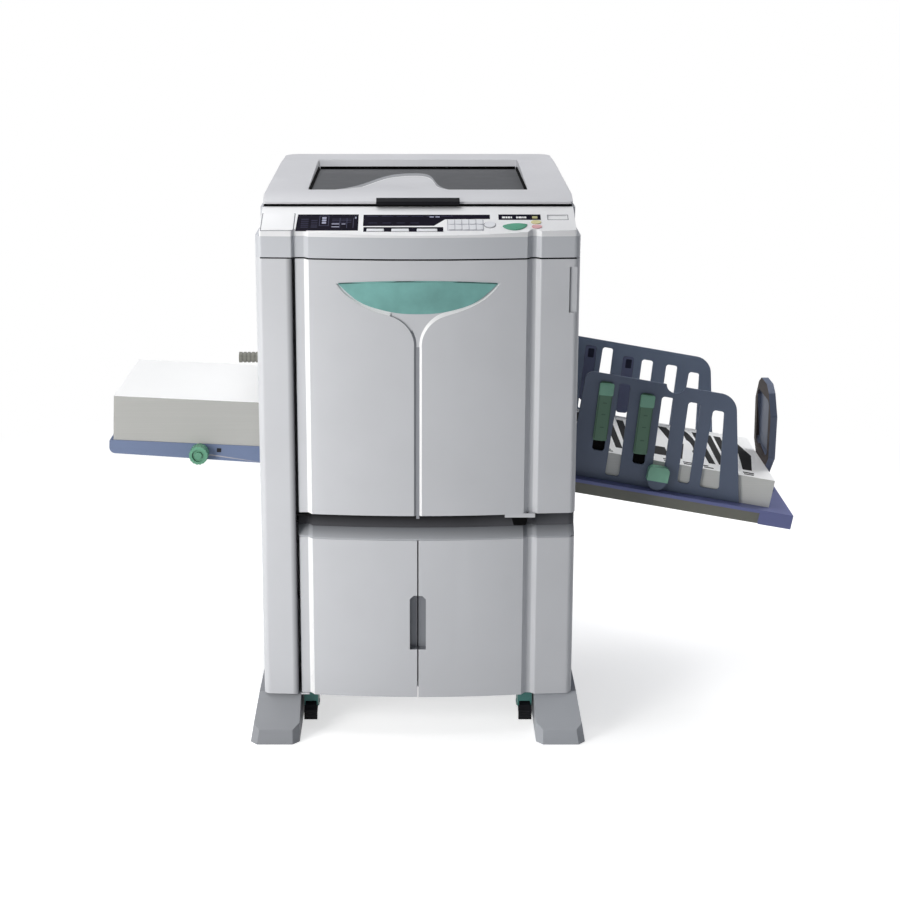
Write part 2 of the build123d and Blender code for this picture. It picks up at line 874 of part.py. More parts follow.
with BuildPart() as scanner_carriage:
    carriage_end = carriage_start + carriage_width
    block(carriage_start, carriage_end, glass_front, glass_back, rail_z - 10, glass_seat - 14)
    block(carriage_start + 8, carriage_end - 8, glass_front + 12, glass_back - 12, rail_z + 18,
          glass_seat - 13, mode=Mode.SUBTRACT)
    # lamp in the trough
    rod_y(carriage_start + 16, rail_z + 23, glass_front + 11, glass_back - 11, 4)
    for y in (rail_front, rail_back):
        rod_x(y, rail_z, carriage_start - 1, carriage_end + 1, rail_radius + run_clearance,
              mode=Mode.SUBTRACT)

# Control panel: places on the slope, across and up from the front edge

left_window = ((-227, 18), (-225, 75), (-111, 75), (-111, 18))
main_window = ((-102, 34), (-102, 74), (135, 74), (135, 59), (51, 58), (30, 35))
key_strip = ((-101, 14), (-101, 30), (47, 30), (47, 14))
legend_strip = ((151, 56), (151, 75), (230, 75), (230, 56))
function_keys = ((-79, 32), (-33, 32), (17, 38))
function_key_v = 18.5
function_key_height = 8.0
keypad_columns = 5
keypad_rows = 2
keypad_centre = (88.5, 37.5)
keypad_pitch = (13.2, 19.0)
keypad_field = (keypad_columns * keypad_pitch[0] + 2, keypad_rows * keypad_pitch[1] + 2)
keypad_size = (11.6, 15.5)
clear_centre = (134.0, 38.0)
clear_radius = 10.0
test_centre = (220.5, 47.0)
stop_centre = (221.0, 31.0)
small_key = (9.5, 5.6)
start_left = (157.0, 33.0)
start_low = (176.0, 19.5)
start_right = (204.0, 38.0)
start_high = (180.0, 41.5)
recess_box = (262.0, 65.0, 37.0, 16.0)
flap_box = (-261.0, 48.0, 59.0, 58.0)


def polygon_face(points):
    """A closed face through a few corners."""
    with BuildLine() as line:
        Polyline(*points, close=True)
    make_face(line.edges())


def start_shape(grow=0.0):
    """Leaf outline of the start key."""
    with BuildLine() as line:
        ThreePointArc(start_left, start_low, start_right)
        ThreePointArc(start_right, start_high, start_left)
    make_face(line.edges())
    fillet(vertices(), 1.5)
    if grow:
        offset(amount=grow)


def panel_key(draw, height=key_proud):
    """A key cap that stands through the panel's skin."""
    with BuildSketch(panel_plane(-key_depth)) as sketch:
        draw()
    extrude(sketch.sketch, amount=key_depth + height)


def oval_key(centre, size, grow=0.0):
    """Oval key outline."""
    with Locations(centre):
        Ellipse(size[0] + grow, size[1] + grow)


with BuildPart() as panel_hollow:
    with BuildSketch(level(band_top - 1)):
        front_plan(-panel_half, panel_half, tub_front, inset=skin)
        with Locations((0, tub_front)):
            Rectangle(casing_width, 2 * skin, mode=Mode.SUBTRACT)
    extrude(amount=tub_height)
    with BuildSketch(side(-half)):
        polygon_face((
            (-bow_reach - 1, band_top - 1),
            (-bow_reach - 1, band_top + panel_lip - skin),
            (panel_top_y, tub_top - skin * 1.1),
            (panel_top_y, band_top - 1),
        ))
    extrude(amount=casing_width, mode=Mode.INTERSECT)

with BuildPart() as control_panel:
    with BuildSketch(level(band_top)):
        front_plan(-panel_half, panel_half, tub_front)
    extrude(amount=tub_height + 1)
    with BuildSketch(side(-half)):
        polygon_face((
            (-bow_reach - 1, band_top),
            (-bow_reach - 1, band_top + panel_lip - 0.4),
            (-bow_reach, band_top + panel_lip),
            (panel_top_y, tub_top),
            (panel_top_y, band_top),
        ))
    extrude(amount=casing_width, mode=Mode.INTERSECT)
    # hollow underneath
    add(panel_hollow.part, mode=Mode.SUBTRACT)
    # raised blank flap on the left and a shallow recess on the right
    with BuildSketch(panel_plane(-0.5)):
        with Locations((flap_box[0], flap_box[1])):
            RectangleRounded(flap_box[2], flap_box[3], 3)
    extrude(amount=1.8)
    with BuildSketch(panel_plane(-window_sink)):
        with Locations((recess_box[0], recess_box[1])):
            RectangleRounded(recess_box[2], recess_box[3], 3)
        for outline in (left_window, main_window, key_strip, legend_strip):
            polygon_face(outline)
        with Locations(keypad_centre):
            Rectangle(*keypad_field)
    extrude(amount=window_sink + 1, mode=Mode.SUBTRACT)
    # openings for the keys, with room below for their travel
    with BuildSketch(panel_plane(-key_depth - key_room)):
        for x, width in function_keys:
            with Locations((x, function_key_v)):
                Rectangle(width + 2 * key_clearance, function_key_height + 2 * key_clearance)
        with Locations(clear_centre):
            Circle(clear_radius + key_clearance)
        oval_key(test_centre, small_key, key_clearance)
        oval_key(stop_centre, small_key, key_clearance)
    extrude(amount=key_depth + key_room + 2, mode=Mode.SUBTRACT)
    with BuildSketch(panel_plane(-key_depth - key_room)):
        start_shape(key_clearance)
    extrude(amount=key_depth + key_room + 2, mode=Mode.SUBTRACT)

with BuildPart() as panel_windows:
    with BuildSketch(panel_plane(-window_sink)):
        for outline in (left_window, main_window, key_strip, legend_strip):
            polygon_face(outline)
        for x, width in function_keys:
            with Locations((x, function_key_v)):
                Rectangle(width + 2 * key_clearance, function_key_height + 2 * key_clearance,
                          mode=Mode.SUBTRACT)
    extrude(amount=window_sink + 0.2)

with BuildPart() as number_keypad:
    with BuildSketch(panel_plane(-window_sink)):
        with Locations(keypad_centre):
            Rectangle(*keypad_field)
    extrude(amount=0.8)
    with BuildSketch(panel_plane(-window_sink + 0.8)):
        with Locations(keypad_centre):
            with GridLocations(*keypad_pitch, keypad_columns, keypad_rows):
                RectangleRounded(*keypad_size, 1.5)
    extrude(amount=2.2)

with BuildPart() as start_key:
    panel_key(start_shape)

with BuildPart() as test_key:
    panel_key(lambda: oval_key(test_centre, small_key))

with BuildPart() as stop_key:
    panel_key(lambda: oval_key(stop_centre, small_key))


def round_key():
    """Outline of the clear key."""
    with Locations(clear_centre):
        Circle(clear_radius)


def bar_key(x, width):
    """Outline of one function key in the dark strip."""
    with Locations((x, function_key_v)):
        Rectangle(width, function_key_height)


with BuildPart() as clear_key:
    panel_key(round_key)

with BuildPart() as function_key_left:
    panel_key(lambda: bar_key(*function_keys[0]))

with BuildPart() as function_key_middle:
    panel_key(lambda: bar_key(*function_keys[1]))

with BuildPart() as function_key_right:
    panel_key(lambda: bar_key(*function_keys[2]))

# Lid

window_floor = lid_bottom + lid_mid_height - window_depth
hinge_z = tub_top + hinge_rise
# place of the pad and of its recess in the lid
pad_half = glass_half_x + pad_margin
pad_front = glass_front - pad_margin
pad_back = glass_back + pad_overhang


def window_shape():
    """Plan of the lid's sunken window, with the swell that rises into it from the front."""
    with Locations((0, (window_front + window_back) / 2)):
        RectangleRounded(2 * window_half, window_back - window_front, 6)
    with BuildLine() as line:
        Spline(
            (-160, window_front),
            (-122, 178),
            (-78, 262),
            (-30, 316),
            (6, 318),
            (30, 262),
            (40, 190),
            (58, window_front),
        )
        Line((58, window_front), (58, window_front - 20))
        Line((58, window_front - 20), (-160, window_front - 20))
        Line((-160, window_front - 20), (-160, window_front))
    make_face(line.edges(), mode=Mode.SUBTRACT)


with BuildPart() as lid:
    with BuildSketch(side(-half)):
        polygon_face((
            (lid_front, lid_bottom),
            (lid_front, lid_bottom + lid_lip_height),
            (lid_slope_start, lid_bottom + lid_mid_height),
            (lid_crease, machine_height),
            (lid_back, machine_height),
            (lid_back, lid_bottom),
        ))
    extrude(amount=casing_width)
    with BuildSketch(level(lid_bottom)):
        polygon_face((
            (-lid_front_half, lid_front),
            (lid_front_half, lid_front),
            (lid_back_half, lid_back),
            (-lid_back_half, lid_back),
        ))
        fillet(vertices().group_by(Axis.Y)[-1], lid_corner)
        fillet(vertices().group_by(Axis.Y)[0], 6)
    extrude(amount=lid_rear_height, mode=Mode.INTERSECT)
    fillet(faces().sort_by(Axis.Z)[-1].edges(), 3)
    with BuildSketch(level(window_floor)):
        window_shape()
    extrude(amount=lid_rear_height, mode=Mode.SUBTRACT)
    # bevelled back edge of the window
    with BuildSketch(side(-window_half)):
        polygon_face((
            (window_back - 1, window_floor + inset_thickness),
            (window_back - 1, machine_height + 1),
            (window_back + window_bevel, machine_height + 1),
        ))
    extrude(amount=2 * window_half, mode=Mode.SUBTRACT)
    # recess for the pad and notch for the grip
    block(-pad_half, pad_half, pad_front, pad_back, lid_bottom, lid_bottom + pad_recess, mode=Mode.SUBTRACT)
    block(-grip_half, grip_half, lid_front - 1, lid_front + grip_notch, lid_bottom - 1, machine_height,
          mode=Mode.SUBTRACT)
    for x in (-hinge_x, hinge_x):
        with BuildSketch(side(x - knuckle_inner + 1)):
            with Locations((hinge_y, hinge_z)):
                Circle(knuckle_radius)
            with Locations((hinge_y - knuckle_radius, hinge_z)):
                Rectangle(2 * knuckle_radius, 2 * knuckle_radius)
        extrude(amount=2 * knuckle_inner - 2)
    rod_x(hinge_y, hinge_z, -half, half, hinge_pin_radius + run_clearance, mode=Mode.SUBTRACT)

with BuildPart() as lid_inset:
    with BuildSketch(level(window_floor)):
        window_shape()
    extrude(amount=inset_thickness)

with BuildPart() as lid_grip:
    with BuildSketch(side(-grip_half)):
        polygon_face((
            (lid_front - 8, lid_bottom - 1),
            (lid_front + grip_notch, lid_bottom),
            (lid_front + grip_notch, lid_bottom + 9.5),
            (lid_front + 4, lid_bottom + 8),
            (lid_front - 8, lid_bottom + 5.5),
        ))
    extrude(amount=2 * grip_half)
    # finger scoop underneath
    rod_x(lid_front + 2, lid_bottom - 12, -grip_half + 10, grip_half - 10, 14, mode=Mode.SUBTRACT)

with BuildPart() as platen_pad:
    block(-pad_half, pad_half, pad_front, pad_back, tub_top + seam, lid_bottom + pad_recess)

# Front door of the main unit

bow_radius = (bow_half**2 + (bow_reach - bow_edge) ** 2) / (2 * (bow_reach - bow_edge))


def bowed_band(outer, inner, z_bottom, z_top):
    """Upright band that follows the bowed front between two distances in front of its surface."""
    with BuildSketch(level(z_bottom)) as sketch:
        with Locations((0, bow_radius - bow_reach)):
            Circle(bow_radius + outer)
            Circle(bow_radius - inner, mode=Mode.SUBTRACT)
        with Locations((0, -bow_reach)):
            Rectangle(2 * bow_half, 4 * bow_reach, mode=Mode.INTERSECT)
    extrude(sketch.sketch, amount=z_top - z_bottom)


def edge_points(outline, sign=1):
    """Points of an emblem or groove edge on one side of the middle, in the front view."""
    return [(sign * reach, emblem_top - drop) for reach, drop in outline]


def emblem_face(mode=Mode.ADD):
    """Crescent: a gently crowned top edge and a deep lower curve."""
    right = edge_points(emblem_edge)
    left = edge_points(emblem_edge, -1)
    with BuildLine() as line:
        ThreePointArc((-emblem_half, emblem_top - 2), (0, emblem_top + 3), (emblem_half, emblem_top - 2))
        Line((emblem_half, emblem_top - 2), right[0])
        Spline(*right, *left[-2::-1])
        Line(left[0], (-emblem_half, emblem_top - 2))
    make_face(line.edges(), mode=mode)


def groove_face():
    """Groove under the emblem: two wings that run together into a stem down to the door's foot."""
    right = edge_points(groove_edge)
    left = edge_points(groove_edge, -1)
    with BuildLine() as line:
        Spline(*right)
        Polyline(right[-1], (stem_half, unit_door_bottom - 1), (-stem_half, unit_door_bottom - 1), left[-1])
        Spline(*left[::-1])
        Line(left[0], right[0])
    make_face(line.edges())
    emblem_face(mode=Mode.SUBTRACT)


def bowed_piece(draw, outer, inner):
    """A shape drawn on the front view and kept only within a band along the bow."""
    with BuildPart() as band:
        bowed_band(outer, inner, unit_door_bottom - 2, unit_door_top)
    with BuildPart() as piece:
        with BuildSketch(upright(0)):
            draw()
        extrude(amount=2 * bow_reach)
        add(band.part, mode=Mode.INTERSECT)
    return piece.part


def backing_face():
    """Patch behind the emblem and the groove where the door's wall is thicker."""
    with Locations((0, (emblem_top + 12 + unit_door_bottom) / 2)):
        Rectangle(2 * emblem_half + 50, emblem_top + 12 - unit_door_bottom)


groove_backing = bowed_piece(backing_face, -skin + 0.5, skin + 3)
groove_cut = bowed_piece(groove_face, 1, stem_depth)
emblem_pocket = bowed_piece(emblem_face, 1, emblem_inset)
emblem_plate = bowed_piece(emblem_face, emblem_proud, emblem_inset)

with BuildPart() as front_door:
    front_shell(-nose_half, half, unit_door_bottom, unit_door_top, door_return)
    # thicker wall behind the groove
    add(groove_backing)
    add(groove_cut, mode=Mode.SUBTRACT)
    add(emblem_pocket, mode=Mode.SUBTRACT)
    rod_z(-pivot_x, pivot_y, unit_door_bottom - 1, unit_door_top + 1, pin_radius + pin_clearance,
          mode=Mode.SUBTRACT)
    # shallow recess at the right edge
    block(half - recess_width, half + 1, -bow_reach, recess_depth - pillar_reach, unit_door_top - recess_low,
          unit_door_top - recess_high, mode=Mode.SUBTRACT)
    # flange and pivot of the latch
    flange_half = latch_half + 13
    block(latch_middle - flange_half, latch_middle + flange_half, latch_y - 8.5, latch_y - 5.5, latch_z - 3,
          unit_door_bottom + 1)
    for sign in (-1, 1):
        boss_x = latch_middle + sign * (latch_half + 6)
        block(boss_x - 5, boss_x + 5, latch_y - 6, latch_y + 4, latch_z - 4, unit_door_bottom + 1)
    rod_x(latch_y, latch_z, latch_middle - latch_half - 6, latch_middle + latch_half + 6, latch_pin)

with BuildPart() as door_emblem:
    add(emblem_plate)

with BuildPart() as latch_grip:
    # finger grip on the pivot under the door, narrower towards its foot
    with BuildSketch(side(latch_middle - latch_half)):
        with Locations((latch_y, latch_z)):
            Circle(latch_knuckle)
        polygon_face((
            (latch_y - latch_knuckle, latch_z),
            (latch_y + latch_knuckle, latch_z),
            (latch_y + 4.5, latch_z - latch_drop + 4),
            (latch_y - 2, latch_z - latch_drop + 1),
            (latch_y - 5.5, latch_z - latch_drop + 4),
        ))
    extrude(amount=2 * latch_half)
    with BuildSketch(upright(latch_y + 8)):
        polygon_face((
            (latch_middle - latch_half, latch_z + 5),
            (latch_middle + latch_half, latch_z + 5),
            (latch_middle + latch_half, latch_z - 3),
            (latch_middle + latch_half - 5, latch_z - latch_drop),
            (latch_middle - latch_half + 5, latch_z - latch_drop),
            (latch_middle - latch_half, latch_z - 3),
        ))
        fillet(vertices().group_by(Axis.Y)[0], 4)
    extrude(amount=20, mode=Mode.INTERSECT)
    rod_x(latch_y, latch_z, latch_middle - 2 * latch_half, latch_middle + 2 * latch_half,
          latch_pin + run_clearance, mode=Mode.SUBTRACT)

# Mechanism

pick_x, pick_z = feed_point(pickup_reach, feed_stack_height + pickup_radius + 0.5)
press_z = drum_z - drum_radius - press_radius - press_gap
stays = ((-185, deck_top + 45), (262, deck_top + 20), (262, unit_top - 25), (-262, unit_top - 25))
plate_ends = (plate_front, plate_back)

with BuildPart() as apron:
    apron_back = front_wall + seam - apron_setback
    with BuildSketch(apron_level(deck_top)):
        front_plan(-foot_inner, half, apron_back)
    extrude(amount=unit_door_bottom - door_margin - deck_top)
    with BuildSketch(apron_level(deck_top + plate_thickness)):
        front_plan(-foot_inner, half, apron_back + skin, inset=skin)
    extrude(amount=unit_door_rise, mode=Mode.SUBTRACT)

with BuildPart() as machine_frame:
    block(-plate_half, plate_half, front_wall + 2, rear_inner, deck_top, deck_top + plate_thickness)
    for y in plate_ends:
        block(-plate_half, plate_half, y, y + plate_thickness, deck_top, unit_top)
    for x, z in stays:
        rod_y(x, z, plate_front, plate_back + plate_thickness, 7)
    # bores for the drum, the rollers and the feed tray's guide rods
    front_skin = (plate_front - 1, plate_front + plate_thickness + 1)
    back_skin = (plate_back - 1, plate_back + plate_thickness + 1)
    rod_y(0, drum_z, *front_skin, journal_radius + run_clearance, mode=Mode.SUBTRACT)
    rod_y(0, drum_z, *back_skin, stub_radius + run_clearance, mode=Mode.SUBTRACT)
    for y0, y1 in (front_skin, back_skin):
        for x, z in ((0, press_z), (master_x, master_z), (pick_x, pick_z)):
            rod_y(x, z, y0, y1, roller_shaft + run_clearance, mode=Mode.SUBTRACT)
        for reach in feed_rods:
            rod_x0, rod_z0 = feed_point(reach, -rod_drop)
            with BuildSketch(upright(y1)):
                with Locations((rod_x0, rod_z0 - feed_travel / 2)):
                    SlotOverall(feed_travel + 2 * slide_rod_radius + 0.4, 2 * slide_rod_radius + 0.2,
                                rotation=90)
            extrude(amount=y1 - y0, mode=Mode.SUBTRACT)
    # apron in the recess under the front door, tied to the base plate
    add(apron.part)
    block(-foot_inner, cover_inner - 1, front_wall - skin, front_wall + 2 * skin, deck_top,
          deck_top + plate_thickness)
    # bracket with the front door's lower hinge pin
    block(-pivot_x - 9, -pivot_x + 10, 0, plate_front, unit_door_bottom - 6, unit_door_bottom - 3)
    rod_z(-pivot_x, pivot_y, unit_door_bottom - 6, unit_door_bottom + skin + pin_reach, pin_radius)

shell_front = drum_front + disc_width
shell_back = drum_back - disc_width
disc_edge = drum_z + drum_radius + disc_rise

with BuildPart() as print_drum:
    # hollow drum with a front journal, end discs and a rear stub
    with BuildSketch(side(0)):
        polygon_face((
            (plate_front - 4, drum_z + journal_bore),
            (plate_front - 4, drum_z + journal_radius),
            (drum_front, drum_z + journal_radius),
            (drum_front, disc_edge),
            (shell_front, disc_edge),
            (shell_front, drum_z + drum_radius),
            (shell_back, drum_z + drum_radius),
            (shell_back, disc_edge),
            (drum_back, disc_edge),
            (drum_back, drum_z + stub_radius),
            (plate_back + 12, drum_z + stub_radius),
            (plate_back + 12, drum_z),
            (shell_back, drum_z),
            (shell_back, drum_z + drum_radius - drum_skin),
            (shell_front, drum_z + drum_radius - drum_skin),
            (shell_front, drum_z + journal_bore),
        ))
    revolve(axis=Axis((casing_x, 0, drum_z), (0, 1, 0)))
    # clamp bar that holds the stencil's leading edge, let into the drum
    for x in (-13, 12):
        block(x, x + 1, shell_front, shell_back, drum_z + drum_radius - 2, drum_z + drum_radius + 1,
              mode=Mode.SUBTRACT)

with BuildPart() as ink_cartridge:
    cartridge_radius = journal_bore - 2
    rod_y(0, drum_z, plate_front - 22, cartridge_back, cartridge_radius)
    rod_y(0, drum_z, cartridge_back, cartridge_tip, 18)
    with BuildSketch(upright(plate_front - 4.3)):
        with Locations((0, drum_z)):
            Circle(journal_radius + cartridge_flange)
    extrude(amount=6)
    with BuildSketch(upright(plate_front - 10)):
        with Locations((0, drum_z)):
            Circle(journal_radius + cartridge_flange)
            Rectangle(2 * journal_radius, handle_width, mode=Mode.SUBTRACT)
            Circle(cartridge_radius - 6, mode=Mode.SUBTRACT)
    extrude(amount=4)
    screw_circle = journal_radius + cartridge_flange / 2
    for angle in (45, 135, 225, 315):
        dx = screw_circle * math.cos(math.radians(angle))
        dz = screw_circle * math.sin(math.radians(angle))
        rod_y(dx, drum_z + dz, plate_front - 5, plate_front, 4)

shaft_front = plate_front - shaft_end
shaft_back = plate_back + plate_thickness + shaft_end

with BuildPart() as press_roller:
    rod_y(0, press_z, shaft_front, shaft_back, roller_shaft)
    rod_y(0, press_z, drum_front + 8, drum_back - 8, press_radius)

with BuildPart() as pickup_roller:
    rod_y(pick_x, pick_z, shaft_front, shaft_back, roller_shaft)
    middle = (paper_front + paper_back) / 2
    for y in (middle - 60, middle + 20):
        rod_y(pick_x, pick_z, y, y + 40, pickup_radius)
        for groove in range(1, 4):
            ring_y = y + 10 * groove
            with BuildSketch(upright(ring_y + 1)):
                with Locations((pick_x, pick_z)):
                    Circle(pickup_radius + 1)
                    Circle(pickup_radius - 1, mode=Mode.SUBTRACT)
            extrude(amount=2, mode=Mode.SUBTRACT)

with BuildPart() as master_roll:
    rod_y(master_x, master_z, shaft_front, shaft_back, roller_shaft)
    rod_y(master_x, master_z, master_front, master_back, master_radius)
    for y in (master_front - flange_width, master_back):
        rod_y(master_x, master_z, y, y + flange_width, master_radius + flange_rise)

with BuildPart() as ejection_belts:
    # belt loops round two cross rods
    belt_pitch = (paper_width - 2 * belt_margin - belt_width) / (belt_count - 1)
    for step in range(belt_count):
        y0 = paper_front + belt_margin + step * belt_pitch
        with BuildSketch(upright(y0 + belt_width)):
            with Locations(((belt_left + belt_right) / 2, belt_z)):
                SlotCenterToCenter(belt_right - belt_left, 2 * belt_radius)
                SlotCenterToCenter(belt_right - belt_left, 2 * (belt_radius - belt_thickness),
                                   mode=Mode.SUBTRACT)
        extrude(amount=belt_width)
        for x in (belt_left, belt_right):
            rod_y(x, belt_z, y0, y0 + belt_width, belt_radius - belt_thickness + 0.1)
    for x in (belt_left, belt_right):
        rod_y(x, belt_z, plate_front + plate_thickness, plate_back, 5)

with BuildPart() as main_motor:
    motor_front = plate_back + plate_thickness
    rod_y(motor_x, motor_z, motor_front, motor_front + motor_length, motor_radius)
    fillet(faces().sort_by(Axis.Y)[-1].edges(), 4)
    block(motor_x - 44, motor_x + 44, motor_front, motor_front + 4, motor_z - 20, motor_z + 20)

# Feed side

feed_depth = mouth_back - mouth_front - 2 * feed_mouth_margin

with BuildPart() as feed_tray:
    with BuildSketch(feed_section(paper_front - feed_side_margin)):
        with BuildLine():
            FilletPolyline(
                (-feed_inside + 3, 0),
                (feed_outer, 0),
                (feed_outer, -feed_outer_depth),
                (0, -feed_inner_depth),
                (-feed_inside + 3, -feed_inner_depth),
                radius=[3, 12, 20],
            )
            Line((-feed_inside + 3, -feed_inner_depth), (-feed_inside + 3, 0))
        make_face()
    extrude(amount=feed_depth)
    # open underneath, with ribs
    with BuildSketch(feed_section(paper_front - feed_side_margin + skin)):
        polygon_face((
            (-feed_inside + 3 + skin, -skin),
            (feed_outer - skin, -skin),
            (feed_outer - skin, -feed_outer_depth * 0.6),
            (feed_outer - 14, -feed_outer_depth - 8),
            (-feed_inside + 3 + skin, -feed_inner_depth - 8),
        ))
    extrude(amount=feed_depth - 2 * skin, mode=Mode.SUBTRACT)
    for rib in feed_ribs:
        section_box(feed_section(paper_front - feed_side_margin + skin), rib, rib + 2,
                    -feed_outer_depth + 6, -skin, feed_depth - 2 * skin)
    # guide rods that run in the frame's upright slots
    for reach in feed_rods:
        rod_x0, rod_z0 = feed_point(reach, -rod_drop)
        rod_y(rod_x0, rod_z0, plate_front - 3, plate_back + plate_thickness + 3, slide_rod_radius)
    # pivot of the knob
    knob_x, knob_z = feed_point(feed_knob_reach, -rod_drop)
    tray_front = paper_front - feed_side_margin
    rod_y(knob_x, knob_z, tray_front - feed_knob_width + 4, tray_front + 1, feed_knob_shaft)

with BuildPart() as feed_knob:
    knob_back = tray_front - 0.3
    knob_front = knob_back - feed_knob_width
    with BuildSketch(upright(knob_back)):
        with Locations((knob_x, knob_z)):
            Circle(feed_knob_radius)
            with PolarLocations(feed_knob_radius + 1.2, feed_knob_flutes):
                Circle(2.2, mode=Mode.SUBTRACT)
    extrude(amount=feed_knob_width)
    rod_y(knob_x, knob_z, knob_front - 1, knob_front + 4, feed_knob_radius - 6, mode=Mode.SUBTRACT)
    rod_y(knob_x, knob_z, knob_front, knob_front + 5, 7)
    rod_y(knob_x, knob_z, knob_front + 4, knob_back + 1, feed_knob_shaft + run_clearance, mode=Mode.SUBTRACT)

with BuildPart() as paper_stack:
    section_box(feed_section(paper_front), -feed_inside, paper_length - feed_inside, 0, feed_stack_height,
                paper_width)

with BuildPart() as feed_lever:
    rod_x(lever_y, lever_z, -half - lever_reach, -half - 0.3, lever_radius)
    for groove in range(lever_rings):
        ring_x = -half - lever_reach + 6 + lever_ring_pitch * groove
        with BuildSketch(side(ring_x)):
            with Locations((lever_y, lever_z)):
                Circle(lever_radius + 1)
                Circle(lever_radius - 1.5, mode=Mode.SUBTRACT)
        extrude(amount=3, mode=Mode.SUBTRACT)
    rod_x(lever_y, lever_z, -half - 1, -half + 12, roller_shaft)

# Receiving side

def tray_box(u0, u1, w0, w1, margin, mode=Mode.ADD):
    """A box in the receiving tray, kept a margin inside its front and back edges."""
    section_box(out_section(out_back - margin), u0, u1, w0, w1, out_back - out_front - 2 * margin, mode=mode)


with BuildPart() as receiving_tray:
    block_start = out_length - end_block
    skirt = rim_overhang + out_wall
    # a thin rim over a skirt that is set back, and a deeper block at the far end
    tray_box(-20, out_length, -rim_height, 0, 0)
    tray_box(-20, block_start + 1, -out_depth, -rim_height + 1, rim_overhang)
    tray_box(block_start, out_length, -out_depth, 0, 0)
    tray_box(-40, block_start, -out_depth - 1, -out_wall, skirt, mode=Mode.SUBTRACT)
    tray_box(block_start + out_wall, out_length - out_wall, -out_depth - 1, -out_wall, out_wall,
             mode=Mode.SUBTRACT)
    for rib in out_ribs:
        tray_box(rib, rib + 2.5, -out_depth + 8, -out_wall, skirt)
    # hollow wall towards the casing
    tray_box(4, 10, -out_depth, -out_wall, skirt)
    # cut upright where it meets the casing
    block(-half, half, 0, casing_depth, out_level - 3 * out_depth, out_level + 3 * out_depth,
          mode=Mode.SUBTRACT)

# Slots of a fence: middle, foot, top, lean in degrees, width at the top and at the foot
slots = (
    (47, 60, 205, slot_lean, slot_width, slot_width),
    (85, 12, 206, 3.6, 23, 29),
    (133, 46, 195, slot_lean, slot_width, slot_width),
    (176, 30, 194, slot_lean, slot_width, slot_width),
    (231, 22, 192, slot_lean, slot_width, slot_width),
    (284, 20, 184, 5.5, 23, 41),
)
arranger_slots = (slots[0], slots[2])
slot_corner = 6.0
grip_reach = 181.0
grip_base = 20.5
grip_width = 43.0
grip_height = 30.0
boss_radius = 19.0
notch_radius = 20.0
boss_depth = 14.0
grip_depth = 16.0
grip_round = 9.0
flap_thickness = 5.0


def fence_outline(top_start):
    """Side view of a fence: upright at the casing, sloping down to its foot at the far end."""
    with BuildLine() as line:
        FilletPolyline(
            (fence_start, slide_gap),
            (top_start, fence_height),
            (fence_top_end, fence_height),
            (fence_foot_end, slide_gap),
            radius=[16, 38],
        )
        Line((fence_foot_end, slide_gap), (fence_start, slide_gap))
    make_face(line.edges())


def slot_outline(slot):
    """One slot of a fence, leaning back a little, with rounded corners."""
    centre, low, high, lean, top_width, foot_width = slot
    shift = (high - low) / 2 * math.tan(math.radians(lean))
    with BuildLine() as line:
        FilletPolyline(
            (centre + shift - foot_width / 2, low),
            (centre + shift + foot_width / 2, low),
            (centre - shift + top_width / 2, high),
            (centre - shift - top_width / 2, high),
            radius=slot_corner,
            close=True,
        )
    make_face(line.edges(), mode=Mode.SUBTRACT)


def fence(front, sign, top_start):
    """A paper fence with six slots and a half-round boss under its grip."""
    with BuildSketch(out_section(front + fence_thickness)) as sketch:
        fence_outline(top_start)
        for slot in slots:
            slot_outline(slot)
        if sign < 0:
            # finger notch in the front fence
            with Locations((grip_reach, fence_height + 4)):
                Circle(notch_radius, mode=Mode.SUBTRACT)
    extrude(sketch.sketch, amount=fence_thickness)
    boss_back = front if sign < 0 else front + fence_thickness + boss_depth
    with BuildSketch(out_section(boss_back)) as sketch:
        with Locations((grip_reach, grip_base - 0.2)):
            Circle(boss_radius)
        with Locations((grip_reach, grip_base - 0.2 + boss_radius)):
            Rectangle(4 * boss_radius, 2 * boss_radius, mode=Mode.SUBTRACT)
    extrude(sketch.sketch, amount=boss_depth)


with BuildPart() as fence_front:
    fence(fence_front_y - fence_thickness, -1, fence_top_start)

with BuildPart() as fence_rear:
    # the rear fence runs close along the casing
    fence(fence_back_y, 1, fence_start - fence_height * math.tan(math.radians(out_tilt)))


def arranger(slot, front, sign):
    """A sliding flap in a fence's slot: a plate outside, a neck through the slot and a lip inside."""
    centre, low, high, lean = slot[:4]
    back = front + fence_thickness
    outer = front - flap_thickness if sign < 0 else back
    length = high - low - arranger_drop - 1
    rise = (high - low - length) / 2 - 0.5
    at = Location((centre, (low + high) / 2, 0), (0, 0, 1), lean) * Location((0, rise, 0))
    with BuildSketch(out_section(back)) as sketch:
        with Locations(at):
            RectangleRounded(slot_width - 1, length, 5.5)
    extrude(sketch.sketch, amount=fence_thickness)
    with BuildSketch(out_section(outer + flap_thickness)) as sketch:
        with Locations(at):
            RectangleRounded(slot_width + 3, length - 4, 3)
    extrude(sketch.sketch, amount=flap_thickness)


def pair_of_arrangers(front, sign):
    """Both arrangers of one fence."""
    for slot in arranger_slots:
        arranger(slot, front, sign)


with BuildPart() as arrangers_front:
    pair_of_arrangers(fence_front_y - fence_thickness, -1)

with BuildPart() as arrangers_rear:
    pair_of_arrangers(fence_back_y, 1)


def fence_grip(front, back):
    """Green squeeze grip near a fence's foot, with a rounded top."""
    with BuildSketch(out_section(back)) as sketch:
        with Locations((grip_reach, grip_base + grip_height / 2)):
            Rectangle(grip_width, grip_height)
        fillet(sketch.vertices().group_by(Axis.Y)[-1], grip_round)
    extrude(sketch.sketch, amount=back - front)


with BuildPart() as grip_front:
    fence_grip(fence_front_y - fence_thickness - grip_depth, fence_front_y - fence_thickness)

